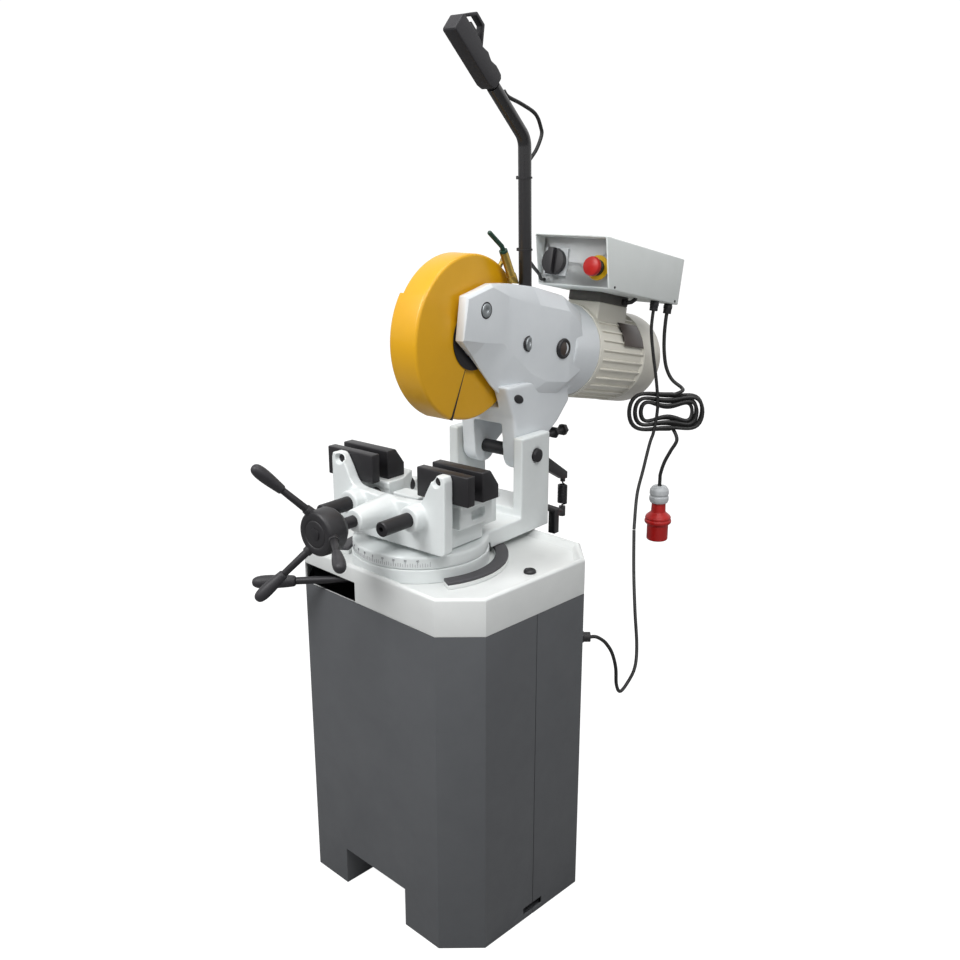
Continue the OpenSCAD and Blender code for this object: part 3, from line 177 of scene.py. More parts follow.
cabinet_powder = paint("cabinet_powder_coat", "#55575a", "#4b4d50", 1.8, 0.25, 0.52)
tray_enamel = paint("tray_gloss_enamel", "#e4e6e5", "#d3d6d5", 3.2, 0.18, 0.36, 0.2)
casting_enamel = paint("casting_gloss_enamel", "#e6eaea", "#d6dbdb", 3.4, 0.3, 0.34, 0.25, 70)
case_enamel = paint("gear_case_enamel", "#e2e6e9", "#d3d8dc", 3.0, 0.22, 0.33, 0.25, 80)
motor_enamel = paint("motor_cream_enamel", "#ece9de", "#dedbd0", 2.6, 0.2, 0.38, 0.15)
box_powder = paint("control_box_powder_coat", "#e6eae9", "#d8dddb", 1.6, 0.22, 0.48)
guard_enamel = paint("guard_yellow_enamel", "#e2a800", "#d39c00", 2.8, 0.18, 0.42, 0.15)
tube_enamel = paint("handle_black_enamel", "#19181b", "#121113", 2.2, 0.2, 0.36, 0.2)
pump_enamel = paint("pump_green_enamel", "#3d6b4c", "#325a40", 2.4, 0.2, 0.4)
scale_ink = paint("scale_engraving_ink", "#77757d", "#6a6870", 2.0, 0.1, 0.5)
plate_paint = paint("blank_plate_paint", "#43362f", "#2b2320", 2.0, 0.1, 0.4)
print("paints", [m.name for m in bpy.data.materials][-10:])

# %% [markdown]
# ## Plastic and rubber
# Moulded plastic copies the fine spark-eroded grain of its mould, about half a millimetre across, and its gloss is
# broken by it. Cord rubber is duller and dusty.


# %% Mix a moulded plastic
def plastic(name, colour, dusty, grain, depth, gloss):
    finish, tree, shader, spot = blank_finish(name, **{"IOR": 1.46})
    cells = add(tree, "TexVoronoi", {"Vector": spot, "Scale": per(grain)})
    dust = add(tree, "TexNoise", {"Vector": spot, "Scale": per(25), "Detail": 6, "Roughness": 0.7})
    tone = add(tree, "Mix", {0: dust.outputs[0], 6: linear(dusty), 7: linear(colour)}, data_type="RGBA")
    tree.links.new(tone.outputs[2], shader.inputs["Base Color"])
    sheen_band(tree, shader, dust.outputs[0], gloss + 0.12, gloss - 0.08)
    relief(tree, shader, cells.outputs[0], depth, 0.3)
    return finish


black_plastic = plastic("black_moulded_plastic", "#161518", "#1f1e21", 1.4, 0.15, 0.45)
grip_rubber = plastic("black_grip_vinyl", "#1c1b1e", "#262529", 2.2, 0.2, 0.5)
cord_rubber = plastic("cord_rubber", "#0f0f10", "#191919", 2.0, 0.1, 0.5)
red_plastic = plastic("red_moulded_plastic", "#c01712", "#a81410", 1.6, 0.1, 0.34)
plug_nylon = plastic("plug_red_nylon", "#bd1613", "#a61311", 1.8, 0.12, 0.4)
plug_grey = plastic("plug_grey_nylon", "#c9ccce", "#b6babd", 1.8, 0.12, 0.42)
yellow_plastic = plastic("yellow_moulded_plastic", "#e7bb1c", "#d3a918", 1.6, 0.1, 0.38)
switch_grey = plastic("switch_grey_plastic", "#b9bdbf", "#a6aaad", 1.6, 0.1, 0.42)
# The terminal box's dark grey is partly its plastic's own colour and partly painted shade for its place under the
# control box.
terminal_plastic_with_shade = plastic("terminal_box_plastic_with_shade", "#55534f", "#4a4845", 1.6, 0.1, 0.45)
lever_vinyl = plastic("lever_green_vinyl", "#0f3a2a", "#0b2d20", 1.8, 0.12, 0.38)
track_phosphate = plastic("track_phosphate_black", "#3b3a3d", "#464548", 2.6, 0.25, 0.55)

# %% [markdown]
# ## Metal
# Turned and ground steel keeps the lines of its tool, so its noise is stretched a hundredfold along one axis.
# Black oxide is the same steel with a thin dark skin that rubs bright, and brass and bronze only change colour.


# %% Mix a metal
def metal(name, colour, stain, line, stretch, gloss, metallic=1.0):
    finish, tree, shader, spot = blank_finish(name, Metallic=metallic)
    lay = add(tree, "Mapping", {"Vector": spot, "Scale": stretch})
    lines = add(tree, "TexNoise", {"Vector": lay.outputs[0], "Scale": per(line), "Detail": 3})
    cloud = add(tree, "TexNoise", {"Vector": spot, "Scale": per(40), "Detail": 5})
    tone = add(tree, "Mix", {0: cloud.outputs[0], 6: linear(stain), 7: linear(colour)}, data_type="RGBA")
    tree.links.new(tone.outputs[2], shader.inputs["Base Color"])
    sheen_band(tree, shader, lines.outputs[0], gloss + 0.1, gloss - 0.08)
    relief(tree, shader, lines.outputs[0], 0.05, 0.25)
    return finish


ALONG_X = (0.02, 1, 1)
ALONG_Y = (1, 0.02, 1)
EVEN = (1, 1, 1)
bright_steel = metal("ground_steel", "#c3c5c8", "#aeb0b4", 1.2, ALONG_Y, 0.28)
blade_steel = metal("blade_steel", "#aeb4bb", "#9aa0a8", 1.4, EVEN, 0.26)
black_oxide = metal("black_oxide_steel", "#1d1c1e", "#29282b", 1.6, EVEN, 0.44, 0.4)
panel_alloy = metal("brushed_panel_alloy", "#e6e9ea", "#d9dcde", 1.0, ALONG_X, 0.5, 0.4)
zinc_sheet = metal("galvanised_sheet", "#a3a8aa", "#8d9295", 9, EVEN, 0.42)
tap_brass = metal("tap_brass", "#b59a55", "#8f7738", 3, EVEN, 0.3)
wheel_bronze = metal("wheel_bronze", "#b5823f", "#96692f", 2, EVEN, 0.34)
spring_steel = metal("oiled_spring_steel", "#2b2b2e", "#1f1f22", 2, EVEN, 0.38, 0.6)
print("finishes", len(bpy.data.materials))

# %% [markdown]
# ## Tools for modelling
# These helpers stand for the moves of a modeller's hand: add a primitive at its size and place, cut an outline and
# extrude it, spin a profile, bridge rings, round the edges, carve with a cutter. Every piece is made square in its
# local frame and then settled: set in place, painted, and made to ride on its body.


# %% Select, name and modify
def alone(piece):
    bpy.ops.object.select_all(action="DESELECT")
    piece.select_set(True)
    bpy.context.view_layer.objects.active = piece
    return piece


def named(name):
    piece = bpy.context.object
    piece.name = name
    piece.data.name = name
    return piece


def in_edit(piece, *steps):
    alone(piece)
    bpy.ops.object.mode_set(mode="EDIT")
    bpy.ops.mesh.select_all(action="SELECT")
    for step in steps:
        step()
    bpy.ops.object.mode_set(mode="OBJECT")
    return piece


def outward():
    bpy.ops.mesh.normals_make_consistent(inside=False)


def merge():
    bpy.ops.mesh.remove_doubles(threshold=0.002 * MM)


def applied(piece, kind, **settings):
    alone(piece)
    modifier = piece.modifiers.new(kind.title(), kind)
    for name, value in settings.items():
        setattr(modifier, name, value)
    bpy.ops.object.modifier_apply(modifier=modifier.name)
    return piece


def smooth_shaded(piece, angle=35):
    alone(piece)
    bpy.ops.object.shade_smooth_by_angle(angle=radians(angle))
    return piece


def softened(piece, width, segments=3, sharp=28):
    applied(piece, "BEVEL", width=width * MM, segments=segments, limit_method="ANGLE", angle_limit=radians(sharp))
    return smooth_shaded(piece)


def as_casting(piece, grain=2.2, passes=6):
    applied(piece, "REMESH", mode="VOXEL", voxel_size=grain * MM)
    applied(piece, "SMOOTH", factor=0.5, iterations=passes)
    return smooth_shaded(piece, 60)


def carved(piece, *cutters):
    for cutter in cutters:
        applied(piece, "BOOLEAN", operation="DIFFERENCE", object=cutter, solver="EXACT")
        bpy.data.objects.remove(cutter)
    return piece


def joined(name, *parts):
    alone(parts[0])
    for part in parts:
        part.select_set(True)
    bpy.ops.object.join()
    return named(name)


def set_down(piece, place):
    piece.matrix_world = place
    alone(piece)
    bpy.ops.object.transform_apply(location=True, rotation=True, scale=True)
    return piece


def set_round(pieces_at):
    return [set_down(piece, place) for piece, place in pieces_at]


# %% Add the starting shapes
def block(name, low, high):
    bpy.ops.object.select_all(action="DESELECT")
    size = [(b - a) * MM for a, b in zip(low, high)]
    middle = [(a + b) / 2 * MM for a, b in zip(low, high)]
    bpy.ops.mesh.primitive_cube_add(size=1, location=middle, scale=size)
    bpy.ops.object.transform_apply(location=True, rotation=True, scale=True)
    return named(name)


def rod(name, radius, start, end, tip=None, sides=40):
    a, b = Vector(start) * MM, Vector(end) * MM
    bpy.ops.object.select_all(action="DESELECT")
    bpy.ops.mesh.primitive_cone_add(
        vertices=sides, radius1=radius * MM, radius2=(radius if tip is None else tip) * MM,
        depth=(b - a).length, location=(a + b) / 2, rotation=(b - a).to_track_quat("Z", "Y").to_euler())
    bpy.ops.object.transform_apply(location=True, rotation=True, scale=True)
    return named(name)


def rings(name, corner_lists, fill="NOTHING"):
    count = len(corner_lists[0])
    bpy.ops.object.select_all(action="DESELECT")
    bpy.ops.mesh.primitive_circle_add(vertices=count, fill_type=fill)
    piece = named(name)
    bpy.ops.object.mode_set(mode="EDIT")
    for _ in corner_lists[1:]:
        bpy.ops.mesh.primitive_circle_add(vertices=count, fill_type=fill)
    bpy.ops.object.mode_set(mode="OBJECT")
    for corner, place in zip(piece.data.vertices, chain(*corner_lists)):
        corner.co = Vector(place) * MM
    return piece


def plate(name, corners, low, high):
    piece = rings(name, [[(x, y, low) for x, y in corners]], "NGON")
    lift = {"value": (0, 0, (high - low) * MM)}
    return in_edit(piece, lambda: bpy.ops.mesh.extrude_region_move(TRANSFORM_OT_translate=lift), outward)


def unpick(piece):
    for part in chain(piece.data.vertices, piece.data.edges, piece.data.polygons):
        part.select = False


def pick_edges(piece, wanted):
    unpick(piece)
    for edge in piece.data.edges:
        if wanted(edge):
            edge.select = True
            for corner in edge.vertices:
                piece.data.vertices[corner].select = True
    alone(piece)
    bpy.ops.object.mode_set(mode="EDIT")
    bpy.ops.mesh.select_mode(type="EDGE")


def loft(name, corner_lists, ends=(0, -1)):
    piece = rings(name, corner_lists)
    count = len(corner_lists[0])
    for k in range(len(corner_lists) - 1):
        pick_edges(piece, lambda edge: k * count <= edge.index < (k + 2) * count)
        bpy.ops.mesh.bridge_edge_loops()
        bpy.ops.object.mode_set(mode="OBJECT")
    for k in [end % len(corner_lists) for end in ends]:
        pick_edges(piece, lambda edge: k * count <= edge.index < (k + 1) * count)
        bpy.ops.mesh.edge_face_add()
        bpy.ops.object.mode_set(mode="OBJECT")
    return in_edit(piece, outward)


def filled(piece, *corner_sets):
    for corners in corner_sets:
        unpick(piece)
        for corner in corners:
            piece.data.vertices[corner].select = True
        alone(piece)
        bpy.ops.object.mode_set(mode="EDIT")
        bpy.ops.mesh.select_mode(type="VERT")
        bpy.ops.mesh.edge_face_add()
        bpy.ops.object.mode_set(mode="OBJECT")
    return in_edit(piece, outward)


def lathe(name, profile, first=0, turn=360, steps=72):
    a = radians(first)
    piece = rings(name, [[(r * cos(a), r * sin(a), h) for r, h in profile]])
    count = len(profile)
    in_edit(piece, lambda: bpy.ops.mesh.spin(steps=steps, angle=radians(turn), center=(0, 0, 0), axis=(0, 0, -1)))
    if turn < 360:
        last = len(piece.data.vertices) - count
        for low in (0, last):
            pick_edges(piece, lambda edge: all(low <= v < low + count for v in edge.vertices))
            bpy.ops.mesh.edge_face_add()
            bpy.ops.object.mode_set(mode="OBJECT")
    return in_edit(piece, merge, lambda: bpy.ops.mesh.delete_loose(), outward)


def from_cad(node, tidy=1.0):
    piece = bpy.data.objects.new(node + "_skin", nodes[node].data.copy())
    bpy.context.scene.collection.objects.link(piece)
    alone(piece)
    bpy.ops.mesh.customdata_custom_splitnormals_clear()
    return in_edit(piece, merge, lambda: bpy.ops.mesh.dissolve_limited(angle_limit=radians(tidy)))


# %% Settle a finished piece
def settled(piece, place, finish, body, *stands_for):
    set_down(piece, place @ piece.matrix_world)
    piece.data.materials.clear()
    piece.data.materials.append(finish)
    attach(piece, body)
    if stands_for:
        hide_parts(*stands_for)
    return piece


def dressed(node, finish, width=0.0, segments=2):
    piece = from_cad(node)
    if width:
        softened(piece, width, segments)
    else:
        smooth_shaded(piece)
    return settled(piece, STAND, finish, body_of[node], node)


# %% [markdown]
# ## Cords
# The power cord leaves its gland under the control box, drops into a bow-shaped hank and ends in a five-pin plug. The
# pump lead hangs from the second gland, sags below the tray and goes into the cabinet. Their routes repeat the
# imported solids' points. A smooth curve through the points is swept to a tube, as a cord has the same width all along.


# %% Curves through route points
def smooth_route(points, steps=6):
    made = []
    for i in range(len(points) - 1):
        a, b, c, d = [Vector(points[min(max(i + k, 0), len(points) - 1)]) for k in (-1, 0, 1, 2)]
        for j in range(steps):
            u = j / steps
            made.append(0.5 * (2 * b + (c - a) * u + (2 * a - 5 * b + 4 * c - d) * u * u
                               + (3 * b - a - 3 * c + d) * u ** 3))
    return made + [Vector(points[-1])]


def tube(name, line, width, sides=4):
    curve = bpy.data.curves.new(name, "CURVE")
    curve.dimensions = "3D"
    spline = curve.splines.new("POLY")
    spline.points.add(len(line) - 1)
    for point, place in zip(spline.points, line):
        point.co = (*place, 1)
    curve.bevel_depth = width / 2 * MM
    curve.bevel_resolution = sides
    curve.use_fill_caps = True
    piece = bpy.data.objects.new(name, curve)
    bpy.context.scene.collection.objects.link(piece)
    alone(piece)
    bpy.ops.object.convert(target="MESH")
    piece = named(name)
    in_edit(piece, outward)
    return smooth_shaded(piece, 50)


def length_of(line):
    return sum((b - a).length for a, b in zip(line, line[1:]))


# %% The power cord, its hank and its plug
CORD_D = 9
LEAD_D = 8
HANK_AT = (175, 721, 1005)
HANK_TURN = 39
HANK_TURNS = 5.5
HANK_HALF = 62
HANK_WAIST = 10
HANK_BULGE = 40
HANK_STEP = 14.5
HANK_LAYER = 6
LOOP_POINTS = 48
SPIRAL_TURNS = (HANK_TURNS - 0.5) / 2
HANK = shift(*HANK_AT) @ Matrix.Rotation(radians(HANK_TURN), 4, "Z")


def hank_loop(u):
    t = radians(90 + 360 * u)
    if u < SPIRAL_TURNS:
        out, rise = SPIRAL_TURNS - u, -1
    elif u < SPIRAL_TURNS + 0.5:
        out, rise = 0, -cos(2 * pi * (u - SPIRAL_TURNS))
    else:
        out, rise = u - SPIRAL_TURNS - 0.5, 1
    out *= HANK_STEP
    swell = HANK_WAIST + HANK_BULGE * cos(t) ** 2 + out
    return Vector(((HANK_HALF + out) * cos(t), HANK_LAYER * rise, swell * sin(t)))


def in_hank(point):
    return (HANK @ (point * MM)) / MM


hank_core = [hank_loop(i / LOOP_POINTS) for i in range(int(HANK_TURNS * LOOP_POINTS) + 1)]
hank_in = hank_core[0] + Vector((CORD_D, 0, 0))
hank_out = hank_core[-1] + Vector((CORD_D, 0, 0))
power_drop = [(140, 757, 1244.5), (140, 753, 1225), (140, 750, 1190), (143, 748, 1150), (150, 750, 1110),
              (165, 755, 1080), (190, 760, 1062)]
power_drop += [in_hank(hank_in + Vector((25, 0, 8))), in_hank(hank_in + Vector((9, 0, 0))), in_hank(hank_in)]
tail_drop = [in_hank(hank_out), in_hank(hank_out + Vector((9, 0, 0))), (200, 733, 934), (188, 726, 905),
             (176, 719, 875), (169, 715, 845), (168, 715, 828), (168, 715, 775)]
power_line = smooth_route(power_drop) + [in_hank(p) for p in hank_core] + smooth_route(tail_drop)
power_line = [SAW @ (p * MM) for p in power_line]

PLUG_AT = (168, 715, 669)
PLUG_NUT_LOW = 102
PLUG_TOP = 144
plug_profile = [(0, 0), (25, 0), (27, 2), (27, 40), (29, 43), (32.5, 45), (34, 48), (34, 53), (32, 55), (32, 57),
                (33, 59), (31, 64), (25, 69), (18.5, 75), (17.5, PLUG_NUT_LOW), (0, PLUG_NUT_LOW)]
nut_profile = [(6, PLUG_NUT_LOW - 2), (22, PLUG_NUT_LOW - 2), (24.5, 106), (24.5, 115), (22.5, 118), (22.5, 120),
               (24.5, 123), (23.5, 134), (18, 142), (10, PLUG_TOP), (6, PLUG_TOP)]
plug = softened(lathe("plug_body", plug_profile), 1.5)
plug = settled(plug, SAW @ shift(*PLUG_AT), plug_nylon, "cord", "plug")
plug_nut = softened(lathe("plug_nut", nut_profile, steps=24), 1)
settled(plug_nut, SAW @ shift(*PLUG_AT), plug_grey, "cord")
power_cord = settled(tube("power_lead", power_line, CORD_D), STAND, cord_rubber, "cord",
                     "power_cord", "cord_hank", "cord_tail")
print("power cord", round(length_of(power_line), 3), "m")

# %% The pump lead in two stretches
# The upper stretch runs between the arm and the head, the lower between the stand and the arm.
lead_high = [(140, 691, 1258), (140, 687, 1238), (141, 684, 1205), (148, 686, 1150), (158, 690, 1085),
             (164, 692, 1020), (161, 684, 960), (158, 672, 930), (159, 644, 868), (163, 613, 811), (183, 572, 737)]
lead_low = [(255.6, 200.6, 597), (264.6, 209.6, 597), (272, 222, 588), (274, 238, 572), (277, 255, 545),
            (281, 265, 507), (270, 285, 455), (259, 315, 421), (252, 350, 424), (252, 380, 455), (234, 410, 497),
            (203, 440, 569), (166, 480, 650), (133, 520, 735)]
high_line = [SAW @ (p * MM) for p in smooth_route(lead_high)]
low_line = [p * MM for p in smooth_route(lead_low)]


def lead(name, line, node):
    piece = tube(name, line, LEAD_D)
    piece.data.materials.append(cord_rubber)
    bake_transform(piece)
    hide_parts(node)
    return piece


lead("pump_lead_high", high_line, "pump_lead_upper")
lead("pump_lead_low", low_line, "pump_lead_lower")
print("pump lead", round(length_of(high_line) + length_of(low_line), 3), "m")

# %% The trigger cable
CABLE_D = 8
CABLE_FIRST = Vector((60, 200.9, 1732.1))
cable_reach = [(0, 0, 0), (0, 13.5, -10.5), (0, 57.5, -22), (0, 106, -39.5), (0, 126, -66), (0, 128, -82),
               (-3, 114.5, -110), (-10, 96, -136), (-13.3, 91.5, -157), (-13.3, 90.5, -212), (-13.3, 90.5, -282),
               (-14.5, 93.5, -322), (-20, 121, -342.5), (-44, 169, -359.5), (-68, 222, -379)]
cable_route = [CABLE_FIRST + Vector(reach) for reach in cable_reach] + [(-22, 449.4, 1340.1), (-22, 462.4, 1337.5)]
cable_line = [SAW @ (p * MM) for p in smooth_route(cable_route)]
cable = settled(tube("trigger_lead", cable_line, CABLE_D), STAND, cord_rubber, "head", "trigger_cable")
print("trigger cable", round(length_of(cable_line), 3), "m")

# %% [markdown]
# ## Cabinet
# The stand is folded sheet under powder coat. Its two shells are right as they are packed, so each is copied, merged
# and given the small round edge that a press brake leaves.

# %% Dress the cabinet and what it holds
dressed("cabinet_front", cabinet_powder, 1.2)
dressed("cabinet_rear", cabinet_powder, 1.2)
dressed("coolant_tank", zinc_sheet, 1)
dressed("coolant_pump", pump_enamel, 1.5)
dressed("pump_gland", black_plastic, 0.8)

# %% [markdown]
# ## Tray
# The tray is a casting with a rounded rim, a sunk floor and a slot in front for the lock lever. Eight-sided rings are
# bridged from the hollow underneath, round the rim and down to the floor, because the rim's round is then exact.

# %% Bridge the tray
CAB_W = 550
CAB_D = 440
CAB_CORNER = 70
CAB_H = 720
TRAY_TOP = 800
RIM_W = 14
RIM_R = 7


def eight_sided(inset, z):
    w, d, c = CAB_W / 2 - inset, CAB_D / 2 - inset, CAB_CORNER - inset * (2 - 2 ** 0.5)
    return [(-w, c - d, z), (c - w, -d, z), (w - c, -d, z), (w, c - d, z),
            (w, d - c, z), (w - c, d, z), (c - w, d, z), (-w, d - c, z)]


def rim_arc(inset, z, radius, start, end, steps=5):
    turns = [radians(start + (end - start) * i / steps) for i in range(steps + 1)]
    return [eight_sided(inset + radius * cos(t), z + radius * sin(t)) for t in turns]


tray_rings = [eight_sided(inset, z) for inset, z in ((4, 780), (4, CAB_H + 1), (0.5, CAB_H + 0.5), (0, CAB_H + 3))]
tray_rings += rim_arc(RIM_R, TRAY_TOP - RIM_R, RIM_R, 180, 60)
tray_rings += [eight_sided(RIM_W - 1, TRAY_TOP - 4), eight_sided(RIM_W + 2, FLOOR_Z + 4)]
tray_rings += [eight_sided(RIM_W + 7, FLOOR_Z)]
tray = loft("tray_casting", tray_rings)
carved(tray, block("slot", (-204, -230, 721), (-35, -200, 765)))
settled(softened(tray, 1.5, 2, 40), STAND, tray_enamel, "stand", "tray")
plug_cap = lathe("tray_cap", [(0, 0), (13, 0), (13, 4), (11, 7), (7, 7), (6, 5.5), (0, 5.5)], steps=40)
settled(softened(plug_cap, 0.8), shift(221, 36, FLOOR_Z), black_plastic, "stand", "tray_plug")

# %% [markdown]
# ## Turntable
# A dark slide lies on a raised land of the tray, and the saw turns on a ring with a degree scale. The scale's lines
# are thin solid marks, longer at fives and tens, with plain figures.

# %% Turn the slide, the ring and the scale
TRACK_R = 188
TRACK_IN = 158
TRACK_FIRST = -31
TRACK_TURN = 242
land = [(TRACK_IN, 0), (TRACK_R, 0), (TRACK_R, 9), (TRACK_IN, 9)]
slide = [(TRACK_IN + 1, 9), (TRACK_R - 1, 9), (TRACK_R - 1, 14), (TRACK_R - 3, 16), (TRACK_IN + 3, 16),
         (TRACK_IN + 1, 14)]
track_land = lathe("track_land", land, TRACK_FIRST, TRACK_TURN)
settled(softened(track_land, 1.5), SAW @ shift(0, 0, FLOOR_Z), tray_enamel, "stand")
track = lathe("track_slide", slide, TRACK_FIRST, TRACK_TURN)
settled(softened(track, 0.8, 2), SAW @ shift(0, 0, FLOOR_Z), track_phosphate, "stand", "swivel_track")
dressed("base_ring", casting_enamel, 2, 3)
arm = as_casting(from_cad("swivel_arm"), 2.4, 5)
settled(arm, STAND, casting_enamel, "arm", "swivel_arm")
dressed("pivot_shaft", black_oxide, 1.5)

DISC_R = 144
marks = []
for degree in range(-50, 51, 2):
    tall = 11 if degree % 10 == 0 else 8 if degree % 10 in (4, 6) else 6
    mark = block("mark", (-0.3, -DISC_R - 0.3, 6), (0.3, -DISC_R + 1, 6 + tall))
    marks.append(set_down(mark, Matrix.Rotation(radians(degree), 4, "Z")))
for degree in range(-40, 41, 10):
    bpy.ops.object.select_all(action="DESELECT")
    bpy.ops.object.text_add()
    figure = named("figure")
    figure.data.body = str(abs(degree))
    figure.data.size = 6 * MM
    figure.data.extrude = 0.4 * MM
    figure.data.align_x = "CENTER"
    bpy.ops.object.convert(target="MESH")
    marks.append(set_down(figure, Matrix.Rotation(radians(degree), 4, "Z") @ shift(0, -DISC_R - 0.1, 17) @ UPRIGHT))
scale = settled(joined("degree_scale", *marks), SAW @ shift(0, 0, DIAL_Z), scale_ink, "arm")
print("scale marks", len(marks))

# %% [markdown]
# ## Vise
# The vise body is one casting: a pedestal, a web, two thin wings and a channel for the blade. Blocks are joined,
# carved and then remeshed into one skin, whose smoothing rounds every edge as a foundry pattern does.

# %% Cast the vise body
BED_HALF = 168
SLOT_HALF = 46
body_parts = [
    block("pedestal", (-120, -40, 844.2), (120, 60, 905)),
    block("web", (-148, -43, 892), (148, 58, 948)),
    block("wing", (-BED_HALF, -45, 942), (BED_HALF, 60, BED_Z)),
    block("ledge", (-120, 40, 868), (120, 108, 925)),
]
vise = as_casting(joined("vise_casting", *body_parts), 2.5, 0)
channel = plate("channel", [(-SLOT_HALF, -60), (SLOT_HALF, -60), (SLOT_HALF, 0), (108.4, 120), (-108.4, 120),
                            (-SLOT_HALF, 0)], 900, 1000)
pockets = [block("pocket", (s * 142 - 10, -8, 905), (s * 142 + 10, 34, 926)) for s in (-1, 1)]
carved(vise, channel, *pockets)
nut = block("nut", (-36, -45, 890), (36, -5, 939))
vise = as_casting(joined("vise_casting", vise, nut), 2.0, 5)
settled(vise, SAW, casting_enamel, "stand", "vise_body")
dressed("rear_jaw_plates", black_oxide, 2.5, 3)

ROD_HALF = 84
ROD_Z = 924
rod_profile = [(0, 10), (5, 10), (5.5, 0), (13, 0), (15, 2), (15, 262), (0, 262)]
ROD_FRONT = -202
guide_rods = [(lathe("guide_rod", rod_profile), shift(side * ROD_HALF, ROD_FRONT, ROD_Z) @ BACK) for side in (-1, 1)]
rods = smooth_shaded(joined("vise_rods", *set_round(guide_rods)))
settled(rods, SAW, black_oxide, "stand", "guide_rods")

# %% [markdown]
# ## Front jaw
# Two horns rise from a bridge that runs on the rods, and a tapered nose holds the screw. The horn's side flows into
# the rod boss in one hollow curve, so the bridge is an outline with that curve in it, extruded and cast.

# %% Cast the front jaw
PLATE_BACK = -76
HORN_FRONT = -101
SCREW_Z = 921
half_outline = [(0, -104), (148, -104), (156, -97), (157, -30), (157, 50), (153, 60), (134, 60), (127, 54), (114, 32),
                (103, 10), (93, -2), (80, -6), (60, -8), (24, -10)]
jaw_outline = half_outline + [(-x, z) for x, z in reversed(half_outline[1:])]
bridge = plate("bridge", [(x, z + BED_Z) for x, z in jaw_outline], -PLATE_BACK, -HORN_FRONT)
jaw_parts = [set_down(bridge, UPRIGHT), rod("nose", 23, (0, -193, SCREW_Z), (0, -90, SCREW_Z), 33)]
jaw_parts += [rod("boss", 26, (s * ROD_HALF, -127, ROD_Z), (s * ROD_HALF, -80, ROD_Z), 29) for s in (-1, 1)]
front_jaw = as_casting(joined("jaw_casting", *jaw_parts), 2.4, 0)
HORN_X = 135
HORN_HOLE_Z = 1004
holes = []
for s in (-1, 1):
    holes.append(rod("hole", 8, (s * HORN_X, -120, HORN_HOLE_Z), (s * HORN_X, -60, HORN_HOLE_Z)))
    holes.append(rod("sink", 13, (s * HORN_X, -120, HORN_HOLE_Z), (s * HORN_X, -93, HORN_HOLE_Z), 11))
carved(front_jaw, *holes)
settled(as_casting(front_jaw, 1.8, 3), SAW, casting_enamel, "jaw", "front_jaw")
screws = [rod("jaw_screw", 8.5, (s * HORN_X, -92, HORN_HOLE_Z), (s * HORN_X, -78, HORN_HOLE_Z)) for s in (-1, 1)]
jaw_screws = softened(joined("jaw_screws", *screws), 1.2)
settled(jaw_screws, SAW, black_oxide, "jaw")
dressed("front_jaw_plates", black_oxide, 2.5, 3)

# %% [markdown]
# ## Capstan
# The vise is closed by a three-armed capstan: a turned hub, plain rods and bottle-shaped grips. The grip is one
# profile, spun once and copied, and softened by one level of subdivision.

# %% Turn the hub, the arms and the grips
HUB_BACK = -236
HUB_FRONT = -296
CAPSTAN_LEAN = 38.3
SPOKE_SET = 16
CAPSTAN_TURN = -3
SPOKE_LEN = 198
GRIP_LEN = 74
hub_profile = [(0, 2), (25, 2), (26, 3.4), (28, 3.4), (29, 2), (36, 1), (41, 2), (44.3, 5.5), (45, 10), (45, 41),
               (42, 47), (34, 54), (31, 60), (0, 60)]
hub = (lathe("hub", hub_profile), shift(0, HUB_FRONT, SCREW_Z) @ BACK)
grip_profile = [(0, 0), (7.5, 0), (9.5, 2), (9.8, 8), (11, 20), (12.6, 38), (13, 52), (12, 64), (9, 71), (4.5, 74),
                (0, 74.4)]


def spoke_place(k, out):
    return (shift(0, HUB_BACK - SPOKE_SET, SCREW_Z) @ Matrix.Rotation(radians(-(CAPSTAN_TURN + 120 * k)), 4, "Y")
            @ Matrix.Rotation(radians(-CAPSTAN_LEAN), 4, "Z") @ Matrix.Rotation(pi / 2, 4, "Y") @ shift(0, 0, out))


spokes = [(rod("spoke", 8, (0, 0, 24), (0, 0, SPOKE_LEN - GRIP_LEN + 2), 6.8), spoke_place(k, 0)) for k in range(3)]
collars = [(rod("collar", 11, (0, 0, 40), (0, 0, 66), 9.5), spoke_place(k, 0)) for k in range(3)]
grips = [(lathe("knob", grip_profile, steps=40), spoke_place(k, SPOKE_LEN - GRIP_LEN)) for k in range(3)]
hub = softened(joined("capstan_body", *set_round([hub] + collars)), 2)
settled(hub, SAW, black_plastic, "screw", "capstan_hub")
settled(softened(joined("capstan_arms", *set_round(spokes)), 0.6, 2), SAW, black_oxide, "screw", "capstan_spokes")
knobs = joined("capstan_knobs", *set_round(grips))
applied(knobs, "SUBSURF", levels=1, render_levels=1)
settled(smooth_shaded(knobs, 60), SAW, grip_rubber, "screw", "capstan_grips")
dressed("vise_screw", black_oxide, 1)

# %% The lock lever
dressed("lock_lever", black_oxide, 1)
LOCK_ANGLE = -130
lock_profile = [(0, 0), (9, 0), (12, 3), (13, 12), (14.5, 40), (15, 66), (13, 82), (8, 91), (0, 93)]
lock_grip = lathe("lock_knob", lock_profile, steps=40)
applied(lock_grip, "SUBSURF", levels=1, render_levels=1)
LOCK_PLACE = shift(0, -TURN_FRONT, 745) @ Matrix.Rotation(radians(LOCK_ANGLE), 4, "Z") @ shift(266, 0, 0)
settled(smooth_shaded(lock_grip, 60), LOCK_PLACE @ Matrix.Rotation(pi / 2, 4, "Y"), grip_rubber, "lock", "lock_grip")

# %% [markdown]
# ## Guards
# The blade runs in a pressed yellow guard. A fixed half covers its top, and a swinging half opens as the head comes
# down. Each is a thin channel with rounded shoulders: a profile spun through part of a turn.

